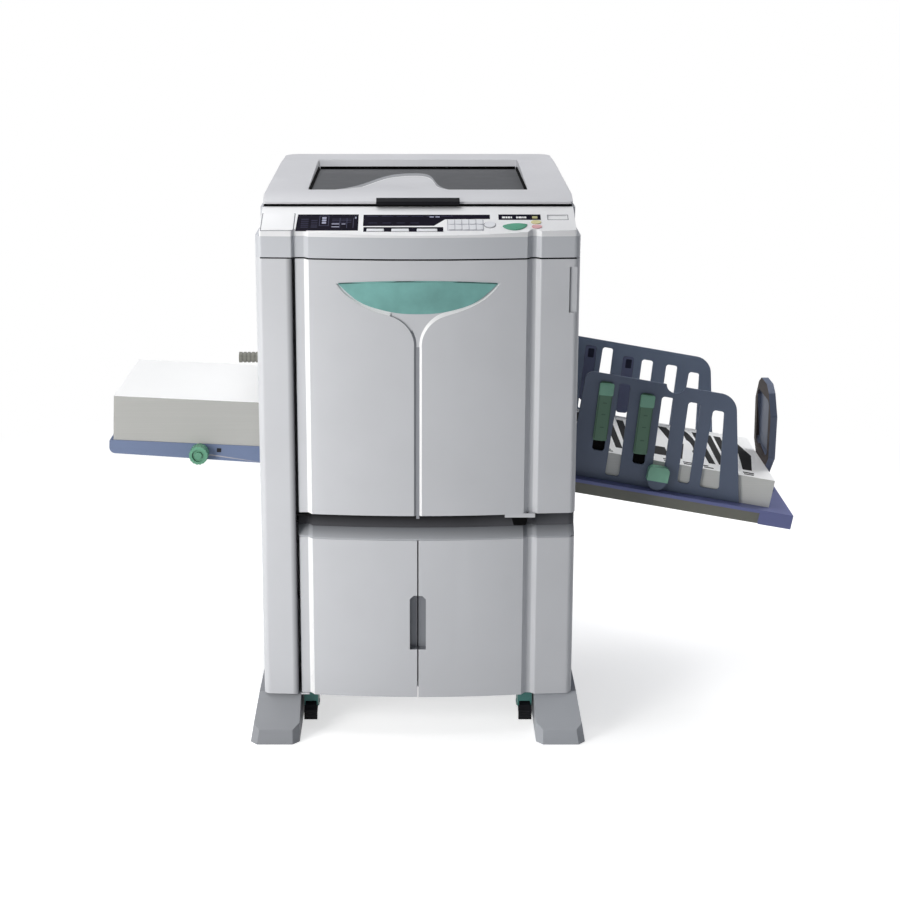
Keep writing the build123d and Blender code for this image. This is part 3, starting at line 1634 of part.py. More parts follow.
with BuildPart() as grip_rear:
    fence_grip(fence_back_y + fence_thickness, fence_back_y + fence_thickness + grip_depth)

with BuildPart() as printed_stack:
    section_box(out_section(fence_back_y - paper_clearance), stack_start, stack_start + paper_length, 0,
                printed_stack_height, paper_width)

stack_corner_x = half + (stack_start + paper_length) * out_cos + printed_stack_height * out_sin
stop_x = stack_corner_x + paper_clearance
stop_foot = (stop_x + stop_thickness / 2 - half) / out_cos
stop_floor = out_level - (stop_x + stop_thickness / 2 - half) / out_cos * out_sin
stop_middle = fence_front_y + paper_width / 2

with BuildPart() as end_stop:
    with BuildSketch(side(stop_x)):
        polygon_face((
            (stop_middle - 26, stop_floor - 10),
            (stop_middle - 30, stop_floor + 40),
            (stop_middle - 74, stop_floor + 84),
            (stop_middle - 78, stop_floor + 175),
            (stop_middle - 50, stop_floor + 218),
            (stop_middle - 26, stop_floor + stop_height),
            (stop_middle + 26, stop_floor + stop_height),
            (stop_middle + 50, stop_floor + 218),
            (stop_middle + 78, stop_floor + 175),
            (stop_middle + 74, stop_floor + 84),
            (stop_middle + 30, stop_floor + 40),
            (stop_middle + 26, stop_floor - 10),
        ))
        fillet(vertices(), 6)
    extrude(amount=stop_thickness)
    # sunken face towards the paper
    with BuildSketch(side(stop_x - 1)):
        with Locations((stop_middle, stop_floor + 142)):
            RectangleRounded(112, 120, 14)
    extrude(amount=stop_thickness / 2 + 1, mode=Mode.SUBTRACT)
    # foot that slides on the tray
    section_box(out_section(stop_middle + 34), stop_foot - 12, stop_foot + 16, slide_gap, 8, 68)
    section_box(out_section(out_back), -out_length, 2 * out_length, -3 * out_depth, slide_gap,
                out_back - out_front, mode=Mode.SUBTRACT)

pieces = {
    "stand_cabinet": stand_cabinet,
    "foot_left": foot_left,
    "foot_right": foot_right,
    "stand_door_left": stand_door_left,
    "stand_door_right": stand_door_right,
    "left_column_cover": left_column_cover,
    "caster_fork_left": caster_fork_left,
    "caster_fork_right": caster_fork_right,
    "caster_wheel_left": caster_wheel_left,
    "caster_wheel_right": caster_wheel_right,
    "brake_pedal_left": brake_pedal_left,
    "brake_pedal_right": brake_pedal_right,
    "rear_caster_brackets": rear_caster_brackets,
    "rear_wheels": rear_wheels,
    "left_side_cover": left_side_cover,
    "right_side_cover": right_side_cover,
    "rear_cover": rear_cover,
    "power_inlet": power_inlet,
    "upper_housing": upper_housing,
    "platen_glass": platen_glass,
    "scanner_rails": scanner_rails,
    "scanner_carriage": scanner_carriage,
    "control_panel": control_panel,
    "panel_windows": panel_windows,
    "number_keypad": number_keypad,
    "start_key": start_key,
    "test_key": test_key,
    "stop_key": stop_key,
    "clear_key": clear_key,
    "function_key_left": function_key_left,
    "function_key_middle": function_key_middle,
    "function_key_right": function_key_right,
    "lid": lid,
    "lid_inset": lid_inset,
    "lid_grip": lid_grip,
    "platen_pad": platen_pad,
    "front_door": front_door,
    "door_emblem": door_emblem,
    "latch_grip": latch_grip,
    "machine_frame": machine_frame,
    "print_drum": print_drum,
    "ink_cartridge": ink_cartridge,
    "press_roller": press_roller,
    "pickup_roller": pickup_roller,
    "master_roll": master_roll,
    "ejection_belts": ejection_belts,
    "main_motor": main_motor,
    "feed_tray": feed_tray,
    "feed_knob": feed_knob,
    "paper_stack": paper_stack,
    "feed_lever": feed_lever,
    "receiving_tray": receiving_tray,
    "fence_front": fence_front,
    "fence_rear": fence_rear,
    "arrangers_front": arrangers_front,
    "arrangers_rear": arrangers_rear,
    "grip_front": grip_front,
    "grip_rear": grip_rear,
    "end_stop": end_stop,
    "printed_stack": printed_stack,
}

os.makedirs("parts", exist_ok=True)
for name, piece in pieces.items():
    piece.part.label = name
    export_step(piece.part, f"parts/{name}.step")
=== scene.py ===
import math

import bmesh
import bpy
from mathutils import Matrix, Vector


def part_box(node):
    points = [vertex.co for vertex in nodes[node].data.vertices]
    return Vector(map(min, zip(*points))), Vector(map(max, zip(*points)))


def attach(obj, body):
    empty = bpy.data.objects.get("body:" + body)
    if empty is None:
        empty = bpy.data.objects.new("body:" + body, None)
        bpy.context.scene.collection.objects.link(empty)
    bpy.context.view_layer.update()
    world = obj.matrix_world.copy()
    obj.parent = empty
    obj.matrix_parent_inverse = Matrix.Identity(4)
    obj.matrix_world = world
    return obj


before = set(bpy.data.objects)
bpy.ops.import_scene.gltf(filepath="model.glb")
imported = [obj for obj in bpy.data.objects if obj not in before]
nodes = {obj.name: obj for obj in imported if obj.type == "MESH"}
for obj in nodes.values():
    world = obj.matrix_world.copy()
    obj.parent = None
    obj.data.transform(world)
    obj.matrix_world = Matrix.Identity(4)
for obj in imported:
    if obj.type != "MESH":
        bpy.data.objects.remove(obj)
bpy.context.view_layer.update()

# Places shared with the CAD source. Lengths below are millimetres in the casing's own frame,
# which starts on the floor in the middle of the casing's front
housing_low, housing_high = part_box("upper_housing")
CASING_X = (housing_low.x + housing_high.x) / 2
CASING_Y = housing_low.y + 0.020
HALF = 303.0
CABINET_DOOR_TOP = 405.0
DECK_BOTTOM = 408.0
EMBLEM_TOP = 911.0
DOOR_TOP = 952.0
BAND_BOTTOM = 955.0
BAND_TOP = 995.0
TUB_TOP = 1038.0
LID_BOTTOM = 1043.0
LID_TOP = 1073.0
LID_FRONT = 78.0
LID_SLOPE = 115.0
LID_CREASE = 455.0
LID_LIP = 4.0
LID_MIDDLE = 17.0
PANEL_FRONT = -20.0
PANEL_EDGE = 4.0
PANEL_TILT = math.atan2(39.0, 96.0)
OUT_TILT = math.radians(10.1)
OUT_LEVEL = 471.0
STACK_TOP = 58.0
FEED_TILT = math.radians(2.7)
FEED_LEVEL = 525.0

# The moulded front: a bowed middle between two coves, then a flat pillar at each side
BOW_HALF = 203.0
BOW_DEPTH = 12.0
BOW_RADIUS = (BOW_HALF**2 + BOW_DEPTH**2) / (2 * BOW_DEPTH)
BOW_FRONT = -20.0
COVE_HALF = 229.0
COVE_DEPTH = 2.0
PILLAR_DEPTH = -1.0

# The camera: its place, its pitch, its focal length in pixels of the picture, and its shift
EYE = (CASING_X, -3.275, 1.5258)
PITCH = 0.2177
SENSOR = 36.0
FOCAL_PIXELS = 1642.0
PICTURE_PIXELS = 900.0
SHIFT = (0.0357, -0.16)

# Lamps: name, place, target, width and height, watts, colour
LAMPS = (
    ("left", (-1.65, -1.6, 0.85), (-0.1, -0.2, 0.6), (0.8, 1.3), 33.0, (1.0, 0.99, 0.965)),
    ("front", (-0.9, -4.6, 1.5), (0.0, 0.0, 0.6), (2.2, 1.8), 8.5, (0.93, 0.97, 1.0)),
    ("top", (-0.9, 0.4, 3.1), (-0.1, 0.0, 0.9), (2.2, 1.8), 52.0, (1.0, 1.0, 1.0)),
    ("tray", (1.5, 0.7, 1.7), (0.45, 0.1, 0.5), (0.9, 0.9), 15.0, (1.0, 1.0, 1.0)),
)


def casing(x, y, z):
    """A point of the casing's frame as metres in the row frame."""
    return Vector((CASING_X + x / 1000, CASING_Y + y / 1000, z / 1000))


def in_casing(point):
    """A point of the row frame in the casing's frame, in millimetres."""
    return (point.x - CASING_X) * 1000, (point.y - CASING_Y) * 1000, point.z * 1000


def on_panel(u, v, lift):
    """A point over the sloping control panel: across, up the slope and off its surface."""
    y = PANEL_FRONT + v * math.cos(PANEL_TILT) - lift * math.sin(PANEL_TILT)
    z = BAND_TOP + PANEL_EDGE + v * math.sin(PANEL_TILT) + lift * math.cos(PANEL_TILT)
    return casing(u, y, z)


def on_out_tray(u, y, w):
    """A point over the receiving tray: outward along its floor, back and up from it."""
    x = HALF + u * math.cos(OUT_TILT) + w * math.sin(OUT_TILT)
    return casing(x, y, OUT_LEVEL - u * math.sin(OUT_TILT) + w * math.cos(OUT_TILT))


def along_out_tray(point):
    """How far out along the receiving tray a point lies, and how far above its floor."""
    x, _, z = in_casing(point)
    across = x - HALF
    up = z - OUT_LEVEL
    reach = across * math.cos(OUT_TILT) - up * math.sin(OUT_TILT)
    rise = across * math.sin(OUT_TILT) + up * math.cos(OUT_TILT)
    return reach, rise


def on_feed_tray(reach, y, rise):
    """A point over the feed tray: outward, back and up from its floor."""
    x = -HALF - reach * math.cos(FEED_TILT) + rise * math.sin(FEED_TILT)
    return casing(x, y, FEED_LEVEL + reach * math.sin(FEED_TILT) + rise * math.cos(FEED_TILT))


def front_depth(x):
    """How far forward the moulded front reaches at a place across."""
    if abs(x) < BOW_HALF:
        return BOW_FRONT + BOW_RADIUS - math.sqrt(BOW_RADIUS**2 - x * x)
    return COVE_DEPTH if abs(x) < COVE_HALF else PILLAR_DEPTH


def on_bow(x, z, out):
    """A place on the front door's bowed face: across, up and proud of it."""
    return casing(x, front_depth(x) - out, z)


def lid_rise(y):
    """Height of the lid's sloping top at a depth."""
    spots = (
        (LID_FRONT, LID_BOTTOM + LID_LIP),
        (LID_SLOPE, LID_BOTTOM + LID_MIDDLE),
        (LID_CREASE, LID_TOP),
    )
    for (near, low), (far, high) in zip(spots, spots[1:]):
        if y <= far:
            return low + (high - low) * (y - near) / (far - near)
    return LID_TOP


# Camera and light

def look():
    """The camera, level from side to side and pitched down."""
    data = bpy.data.cameras.new("view")
    data.sensor_width = SENSOR
    data.lens = SENSOR * FOCAL_PIXELS / PICTURE_PIXELS
    data.shift_x, data.shift_y = SHIFT
    data.clip_end = 200.0
    camera = bpy.data.objects.new("view", data)
    bpy.context.scene.collection.objects.link(camera)
    camera.location = EYE
    camera.rotation_euler = (math.pi / 2 - PITCH, 0.0, 0.0)
    bpy.context.scene.camera = camera


def softbox(name, location, target, size, power, tint):
    """A large soft lamp aimed at a point."""
    data = bpy.data.lights.new(name, "AREA")
    data.shape = "RECTANGLE"
    data.size, data.size_y = size
    data.energy = power
    data.color = tint
    lamp = bpy.data.objects.new(name, data)
    bpy.context.scene.collection.objects.link(lamp)
    lamp.location = location
    aim = Vector(target) - Vector(location)
    lamp.rotation_euler = aim.to_track_quat("-Z", "Y").to_euler()


def add(tree, kind, **settings):
    """A node with its settings."""
    node = tree.nodes.new(kind)
    for key, value in settings.items():
        setattr(node, key, value)
    return node


def plain(tree, kind, colour=(1.0, 1.0, 1.0), strength=None):
    """A simple shader of one colour."""
    node = add(tree, kind)
    node.inputs["Color"].default_value = (*colour, 1.0)
    if strength is not None:
        node.inputs["Strength"].default_value = strength
    return node.outputs[0]


def mixed(tree, fac, first, second):
    """Two shaders mixed by a value."""
    mix = add(tree, "ShaderNodeMixShader")
    for socket, link in zip(mix.inputs, (fac, first, second)):
        tree.links.new(link, socket)
    return mix.outputs[0]


def seen_or_mirrored(tree, dull, bright):
    """Mixes in a bright surface that only what looks straight at it, or mirrors it, sees."""
    path = add(tree, "ShaderNodeLightPath")
    fac = path.outputs["Is Camera Ray"]
    for ray in ("Is Transmission Ray", "Is Glossy Ray"):
        either = add(tree, "ShaderNodeMath", operation="MAXIMUM")
        tree.links.new(fac, either.inputs[0])
        tree.links.new(path.outputs[ray], either.inputs[1])
        fac = either.outputs[0]
    return mixed(tree, fac, dull, bright)


def pale_world():
    """A world that looks white and lights the piece only faintly."""
    world = bpy.data.worlds.new("studio")
    bpy.context.scene.world = world
    world.use_nodes = True
    tree = world.node_tree
    tree.nodes.clear()
    dim = plain(tree, "ShaderNodeBackground", (0.90, 0.95, 1.0), 0.15)
    white = plain(tree, "ShaderNodeBackground")
    path = add(tree, "ShaderNodeLightPath")
    out = add(tree, "ShaderNodeOutputWorld")
    seen = mixed(tree, path.outputs["Is Camera Ray"], dim, white)
    tree.links.new(seen, out.inputs["Surface"])


def pale_floor():
    """A plain floor that shows soft shadows and fades into white away from the object."""
    bpy.ops.mesh.primitive_plane_add(size=160.0)
    floor = bpy.context.object
    floor.name = "floor"
    material = bpy.data.materials.new("floor_pale")
    material.use_nodes = True
    tree = material.node_tree
    tree.nodes.clear()
    matt = plain(tree, "ShaderNodeBsdfDiffuse", (0.80, 0.80, 0.80))
    dull = plain(tree, "ShaderNodeBsdfDiffuse", (0.62, 0.63, 0.65))
    glow = plain(tree, "ShaderNodeEmission", strength=0.62)
    both = add(tree, "ShaderNodeAddShader")
    tree.links.new(matt, both.inputs[0])
    tree.links.new(glow, both.inputs[1])
    where = add(tree, "ShaderNodeTexCoord")
    reach = add(tree, "ShaderNodeVectorMath", operation="LENGTH")
    tree.links.new(where.outputs["Object"], reach.inputs[0])
    fade = add(tree, "ShaderNodeMapRange")
    fade.inputs["From Min"].default_value = 1.0
    fade.inputs["From Max"].default_value = 2.2
    tree.links.new(reach.outputs["Value"], fade.inputs["Value"])
    far = plain(tree, "ShaderNodeEmission")
    bright = mixed(tree, fade.outputs["Result"], both.outputs[0], far)
    out = add(tree, "ShaderNodeOutputMaterial")
    tree.links.new(seen_or_mirrored(tree, dull, bright), out.inputs["Surface"])
    floor.data.materials.append(material)


look()
pale_world()
pale_floor()
for lamp in LAMPS:
    softbox(*lamp)
bpy.context.scene.view_settings.view_transform = "Standard"


# Materials

def new_material(name):
    """A node material: itself, its tree and its shader."""
    material = bpy.data.materials.new(name)
    material.use_nodes = True
    tree = material.node_tree
    return material, tree, tree.nodes["Principled BSDF"]


def place(tree, scale=(1.0, 1.0, 1.0)):
    """Coordinates that stay with the piece, in metres."""
    where = add(tree, "ShaderNodeTexCoord")
    mapping = add(tree, "ShaderNodeMapping")
    mapping.inputs["Scale"].default_value = scale
    tree.links.new(where.outputs["Object"], mapping.inputs["Vector"])
    return mapping.outputs["Vector"]


def noise(tree, vector, scale, detail=2.0, rough=0.5):
    """A noise value between 0 and 1."""
    node = add(tree, "ShaderNodeTexNoise")
    node.inputs["Scale"].default_value = scale
    node.inputs["Detail"].default_value = detail
    node.inputs["Roughness"].default_value = rough
    tree.links.new(vector, node.inputs["Vector"])
    return node.outputs["Fac"]


def spread(tree, value, low, high, start=0.3, end=0.7):
    """A value stretched onto two limits."""
    node = add(tree, "ShaderNodeMapRange")
    node.inputs["From Min"].default_value = start
    node.inputs["From Max"].default_value = end
    node.inputs["To Min"].default_value = low
    node.inputs["To Max"].default_value = high
    tree.links.new(value, node.inputs["Value"])
    return node.outputs["Result"]


def blend(tree, fac, first, second):
    """Two colours or links mixed by a value."""
    node = add(tree, "ShaderNodeMix", data_type="RGBA")
    tree.links.new(fac, node.inputs["Factor"])
    for socket, value in ((node.inputs["A"], first), (node.inputs["B"], second)):
        if isinstance(value, tuple):
            socket.default_value = (*value, 1.0)
        else:
            tree.links.new(value, socket)
    return node.outputs["Result"]


def relief(tree, shader, height, strength, distance):
    """Fine surface relief."""
    bump = add(tree, "ShaderNodeBump")
    bump.inputs["Strength"].default_value = strength
    bump.inputs["Distance"].default_value = distance
    tree.links.new(height, bump.inputs["Height"])
    tree.links.new(bump.outputs["Normal"], shader.inputs["Normal"])


def linear(colour):
    """Screen colour from 0..255 as scene-linear."""
    return tuple(c / 255 / 12.92 if c <= 10 else ((c / 255 + 0.055) / 1.055) ** 2.4 for c in colour)


def scaled(colour, by):
    """A colour made darker or lighter."""
    return tuple(max(0.0, min(1.0, c * by)) for c in colour)


def moulded(name, colour, rough=0.42, grain=1400.0, bump=0.12, mottle=0.03, wear=1.06, shine=0.42):
    """Injection-moulded plastic: fine spark texture, faint flow mottling, rubbed edges."""
    material, tree, shader = new_material(name)
    base = linear(colour)
    where = place(tree)
    broad = spread(tree, noise(tree, where, 5.0, 3.0), 0.0, 1.0)
    tint = blend(tree, broad, scaled(base, 1.0 - mottle), scaled(base, 1.0 + mottle))
    geometry = add(tree, "ShaderNodeNewGeometry")
    rubbed = spread(tree, geometry.outputs["Pointiness"], 0.0, 1.0, 0.53, 0.62)
    tree.links.new(blend(tree, rubbed, tint, scaled(base, wear)), shader.inputs["Base Color"])
    smudge = noise(tree, where, 14.0, 4.0)
    tree.links.new(spread(tree, smudge, rough - 0.05, rough + 0.06), shader.inputs["Roughness"])
    relief(tree, shader, noise(tree, where, grain, 3.0, 0.6), bump, 0.00015)
    shader.inputs["Specular IOR Level"].default_value = shine
    return material


def brushed(name, colour):
    """Steel with drawn lines from side to side."""
    material, tree, shader = new_material(name)
    base = linear(colour)
    lines = noise(tree, place(tree, (12.0, 900.0, 900.0)), 1.0, 3.0)
    tint = blend(tree, lines, scaled(base, 0.85), scaled(base, 1.1))
    tree.links.new(tint, shader.inputs["Base Color"])
    tree.links.new(spread(tree, lines, 0.22, 0.42), shader.inputs["Roughness"])
    shader.inputs["Metallic"].default_value = 1.0
    return material


def rubber(name, colour):
    """Matt rubber with a dusty bloom."""
    material, tree, shader = new_material(name)
    base = linear(colour)
    where = place(tree)
    dust = spread(tree, noise(tree, where, 60.0, 4.0), 0.0, 1.0)
    tree.links.new(blend(tree, dust, base, scaled(base, 1.7)), shader.inputs["Base Color"])
    shader.inputs["Roughness"].default_value = 0.75
    relief(tree, shader, noise(tree, where, 700.0), 0.2, 0.0003)
    return material


def clear_glass(name):
    """Platen glass, faintly green."""
    material, tree, shader = new_material(name)
    smear = spread(tree, noise(tree, place(tree), 8.0, 4.0), 0.02, 0.07)
    tree.links.new(smear, shader.inputs["Roughness"])
    shader.inputs["Base Color"].default_value = (0.86, 0.95, 0.92, 1.0)
    shader.inputs["Transmission Weight"].default_value = 1.0
    shader.inputs["IOR"].default_value = 1.5
    return material


def glossy_film(name, colour, rough=0.2, shine=0.5):
    """Dark display film or bright key cap under a clear coat."""
    material, tree, shader = new_material(name)
    base = linear(colour)
    where = place(tree)
    cloud = spread(tree, noise(tree, where, 22.0, 3.0), 0.0, 1.0)
    tint = blend(tree, cloud, scaled(base, 0.85), scaled(base, 1.15))
    tree.links.new(tint, shader.inputs["Base Color"])
    smudge = noise(tree, where, 60.0, 3.0)
    tree.links.new(spread(tree, smudge, rough - 0.04, rough + 0.06), shader.inputs["Roughness"])
    shader.inputs["Specular IOR Level"].default_value = shine
    return material


def recess(name, top_colour, foot_colour, rises, side_colour, sides):
    """Moulding in a recess with painted shade: painted darker under its top edge and painted lighter
    towards one side.
    """
    material, tree, shader = new_material(name)
    where = place(tree)
    apart = add(tree, "ShaderNodeSeparateXYZ")
    tree.links.new(where, apart.inputs[0])
    # Painted shade darkens towards the top edge; painted light lightens towards one side
    rise = spread(tree, apart.outputs["Z"], 0.0, 1.0, *rises)
    across = spread(tree, apart.outputs["X"], 0.0, 1.0, *sides)
    middle = blend(tree, rise, linear(foot_colour), linear(top_colour))
    lit = blend(tree, rise, linear(side_colour), scaled(linear(side_colour), 0.5))
    tree.links.new(blend(tree, across, middle, lit), shader.inputs["Base Color"])
    smudge = noise(tree, where, 30.0, 3.0)
    tree.links.new(spread(tree, smudge, 0.5, 0.62), shader.inputs["Roughness"])
    relief(tree, shader, noise(tree, where, 1400.0, 3.0, 0.6), 0.12, 0.00015)
    shader.inputs["Specular IOR Level"].default_value = 0.12
    return material


def sheets(name, top_colour, side_colour):
    """A block of loose sheets: fine level lines on its sides, fibre on its top, and its sides painted
    darker than its top as painted shade.
    """
    material, tree, shader = new_material(name)
    top_base = linear(top_colour)
    side_base = linear(side_colour)
    wobble = spread(tree, noise(tree, place(tree), 6.0, 2.0), 0.0, 1.0)
    lines = noise(tree, place(tree, (4.0, 4.0, 1400.0)), 1.0, 3.0)
    apart = add(tree, "ShaderNodeSeparateXYZ")
    geometry = add(tree, "ShaderNodeNewGeometry")
    tree.links.new(geometry.outputs["Normal"], apart.inputs[0])
    # Painted shade: faces that do not face up take the darker side colour
    flat = spread(tree, apart.outputs["Z"], 0.0, 1.0, 0.7, 0.8)
    edge = blend(tree, spread(tree, lines, 0.0, 1.0), scaled(side_base, 0.96), scaled(side_base, 1.03))
    face = blend(tree, wobble, scaled(top_base, 0.98), top_base)
    tree.links.new(blend(tree, flat, edge, face), shader.inputs["Base Color"])
    shader.inputs["Roughness"].default_value = 0.85
    relief(tree, shader, lines, 0.12, 0.0003)
    return material


def edge_shaded(name, colour, dark_colour, edge):
    """Moulding painted darker towards one edge, as painted shade beside a groove."""
    material = moulded(name, colour)
    tree = material.node_tree
    shader = tree.nodes["Principled BSDF"]
    plain_tint = shader.inputs["Base Color"].links[0].from_socket
    apart = add(tree, "ShaderNodeSeparateXYZ")
    tree.links.new(place(tree), apart.inputs[0])
    across = spread(tree, apart.outputs["X"], 0.0, 1.0, *edge)
    tree.links.new(blend(tree, across, plain_tint, linear(dark_colour)), shader.inputs["Base Color"])
    return material


# Where the painted shade of the column, apron and deck changes, in metres of the row frame
COLUMN_EDGE = (CASING_X - 0.2465, CASING_X - 0.2352)
APRON_RISES = (0.425, 0.449)
APRON_SIDES = (CASING_X + 0.1, CASING_X + 0.32)
DECK_RISES = (0.408, 0.425)
DECK_SIDES = (CASING_X + 0.2, CASING_X + 0.3)

# Screen colours from 0 to 255
finishes = {
    # The column's grey darkens towards its groove edge: painted shade
    "column": edge_shaded("column_painted_shade", (206, 207, 211), (96, 97, 102), COLUMN_EDGE),
    "body": moulded("casing_grey", (206, 207, 211)),
    "band": moulded("band_grey", (198, 200, 205)),
    "foot": moulded("foot_grey", (152, 154, 159), rough=0.55, mottle=0.05),
    "lid": moulded("lid_grey", (210, 210, 214), rough=0.4),
    "panel": moulded("panel_white", (234, 234, 236), rough=0.38, mottle=0.015),
    "grip": moulded("grip_black", (20, 20, 24), rough=0.55, wear=1.6, shine=0.12),
    # Matt black for the latch and the slots' feet, and painted shadow in the gaps round the lid, the
    # band, the column and the lid's window
    "black_and_gap_shadow": moulded("black_matt_and_gap_shadow", (10, 10, 11), rough=0.7, wear=1.2, shine=0.05),
    # Painted highlight for flanks and edges that face the light
    "painted_highlight": moulded("painted_highlight", (248, 248, 249), rough=0.3),
    # Painted shade for the groove's flank left of the stem and for its floor
    "painted_groove_shade": moulded("painted_groove_shade", (146, 148, 154), rough=0.45),
    # Painted shadow along the emblem's top edge
    "emblem_painted_shadow": moulded("emblem_painted_shadow", (66, 96, 92), rough=0.5, shine=0.2),
    # Painted shadow lines round the panel's flap, recess and clear key
    "line": moulded("shadow_line", (132, 133, 139), rough=0.6, shine=0.2),
    "glyph": moulded("glyph_faint", (58, 58, 84), rough=0.5, shine=0.1),
    "glyph_bright": moulded("glyph_bright", (150, 152, 178), rough=0.5),
    "mark": moulded("mark_white", (232, 232, 234), rough=0.5),
    "mark_yellow": moulded("mark_yellow", (176, 172, 120), rough=0.5),
    "display": glossy_film("display_dark", (17, 13, 30), rough=0.5, shine=0.03),
    "start": glossy_film("start_green", (76, 152, 124), rough=0.3),
    "pink": glossy_film("stop_pink", (224, 172, 176), rough=0.3),
    "yellow": glossy_film("test_yellow", (220, 212, 162), rough=0.3),
    "key": moulded("key_grey", (222, 223, 228), rough=0.35),
    "key_base": moulded("key_base", (186, 187, 194), rough=0.5),
    "emblem": glossy_film("emblem_teal", (116, 170, 165), rough=0.34),
    "inset": moulded("inset_grey", (91, 92, 95), rough=0.5, shine=0.25),
    # Painted shade on the swell's edge in the lid's window
    "swell": moulded("swell_painted_shade", (158, 159, 164), rough=0.45, shine=0.25),
    "black": moulded("black_plastic", (24, 24, 29), rough=0.5, wear=1.3, shine=0.2),
    # Painted shade in the recess below the front door: darker towards the top, lighter towards the right
    "apron": recess(
        "recess_painted_shade", (8, 8, 9), (78, 78, 82), APRON_RISES, (100, 101, 106), APRON_SIDES
    ),
    # Painted shade on the deck above the cabinet's doors: darker towards the top, lighter towards the
    # right
    "deck": recess(
        "deck_painted_shade", (126, 128, 133), (182, 184, 189), DECK_RISES, (176, 178, 184), DECK_SIDES
    ),
    "cup": moulded("cup_grey", (134, 136, 142), rough=0.45),
    "fence": moulded("fence_blue", (94, 105, 126), rough=0.45, mottle=0.05),
    # A lighter copy of the fence blue for the rear fence's faces: painted light
    "fence_painted_light": moulded("fence_blue_painted_light", (142, 156, 182), rough=0.45, mottle=0.05),
    "stop": moulded("stop_blue", (98, 107, 128), rough=0.45, mottle=0.05),
    "navy": moulded("arranger_navy", (116, 122, 156), rough=0.45, mottle=0.05),
    "stop_inner": moulded("stop_inner", (70, 62, 60), rough=0.6, shine=0.2),
    "navy_dark": moulded("arranger_navy_dark", (40, 42, 66), rough=0.5, shine=0.2),
    # A lighter copy of the foot grey for the right foot: painted light
    "foot_painted_lighter": moulded("foot_grey_painted_lighter", (184, 187, 193), rough=0.55, mottle=0.05),
    "tray": moulded("tray_blue", (110, 116, 164), rough=0.45, mottle=0.05),
    "skirt": moulded("skirt_grey", (122, 122, 114), rough=0.6, mottle=0.06),
    "arranger": moulded("arranger_green", (92, 128, 106), rough=0.4, mottle=0.05),
    "arranger_dark": moulded("arranger_green_dark", (66, 96, 80), rough=0.5),
    "cap": glossy_film("cap_green", (132, 188, 162), rough=0.35),
    "knob": glossy_film("knob_green", (92, 150, 122), rough=0.34),
    # A painted highlight on the feed knob's boss
    "boss": glossy_film("boss_green_painted_highlight", (150, 226, 200), rough=0.2),
    "feed": moulded("feed_blue", (102, 116, 146), rough=0.5, mottle=0.05),
    "feed_grey": moulded("feed_grey", (160, 158, 166), rough=0.5, mottle=0.05),
    "lever": moulded("lever_olive", (120, 120, 113), rough=0.6, mottle=0.08),
    "teal": moulded("caster_teal", (72, 128, 122), rough=0.45),
    # Paper blocks with their sides painted darker than their tops: painted shade
    "paper": sheets("paper", (254, 254, 254), (174, 174, 171)),
    "prints": sheets("printed_paper", (254, 254, 254), (222, 222, 218)),
    "ink_black": moulded("print_black", (26, 26, 28), rough=0.7, grain=900.0),
    "glass": clear_glass("platen_glass"),
    "pad": moulded("pad_white", (232, 232, 230), rough=0.8, grain=500.0, bump=0.4),
    "steel": brushed("rod_steel", (190, 192, 196)),
    "frame": moulded("frame_grey", (150, 153, 158), rough=0.5, grain=600.0),
    "drum": moulded("drum_grey", (84, 88, 94), rough=0.35, grain=2500.0, bump=0.3),
    "rubber": rubber("roller_rubber", (36, 36, 38)),
    "tread": rubber("caster_tread", (48, 49, 52)),
    "hub": moulded("hub_grey", (120, 122, 126), rough=0.5),
    "ink": moulded("ink_green", (50, 110, 88), rough=0.35),
    "master": moulded("master_paper", (214, 208, 192), rough=0.8, grain=400.0),
}
finish_of = {
    "stand_cabinet": "body",
    "foot_left": "foot",
    "foot_right": "foot_painted_lighter",
    "stand_door_left": "body",
    "stand_door_right": "body",
    "left_column_cover": "column",
    "caster_fork_left": "teal",
    "caster_fork_right": "teal",
    "caster_wheel_left": "tread",
    "caster_wheel_right": "tread",
    "brake_pedal_left": "black",
    "brake_pedal_right": "black",
    "rear_caster_brackets": "steel",
    "rear_wheels": "tread",
    "left_side_cover": "body",
    "right_side_cover": "body",
    "rear_cover": "body",
    "power_inlet": "black",
    "upper_housing": "band",
    "platen_glass": "glass",
    "scanner_rails": "steel",
    "scanner_carriage": "black",
    "control_panel": "panel",
    "panel_windows": "display",
    "number_keypad": "key",
    "start_key": "start",
    "test_key": "yellow",
    "stop_key": "pink",
    "clear_key": "key",
    "function_key_left": "key",
    "function_key_middle": "key",
    "function_key_right": "key",
    "lid": "lid",
    "lid_inset": "inset",
    "lid_grip": "grip",
    "platen_pad": "pad",
    "front_door": "body",
    "door_emblem": "emblem",
    "latch_grip": "black_and_gap_shadow",
    "machine_frame": "frame",
    "print_drum": "drum",
    "ink_cartridge": "ink",
    "press_roller": "rubber",
    "pickup_roller": "rubber",
    "master_roll": "master",
    "ejection_belts": "rubber",
    "main_motor": "steel",
    "feed_tray": "feed",
    "feed_knob": "knob",
    "paper_stack": "paper",
    "feed_lever": "lever",
    "receiving_tray": "tray",
    "fence_front": "fence",
    "fence_rear": "fence_painted_light",
    "arrangers_front": "arranger",
    "arrangers_rear": "navy",
    "grip_front": "cap",
    "grip_rear": "cap",
    "end_stop": "stop",
    "printed_stack": "prints",
}


# Faces that take a second finish. Each test is given a face's centre and its normal

def is_apron(point, normal):
    """The machine frame's dark front below the door, painted darker up under the door as painted shade
    and lighter towards the right as painted light.
    """
    _, y, z = in_casing(point)
    return y < 31.0 and z < 456.0


def is_deck(point, normal):
    """The cabinet's front edge above its doors, painted darker towards its top as painted shade and
    lighter towards the right as painted light.
    """
    _, y, z = in_casing(point)
    return y < 111.0 and z > DECK_BOTTOM + 0.3


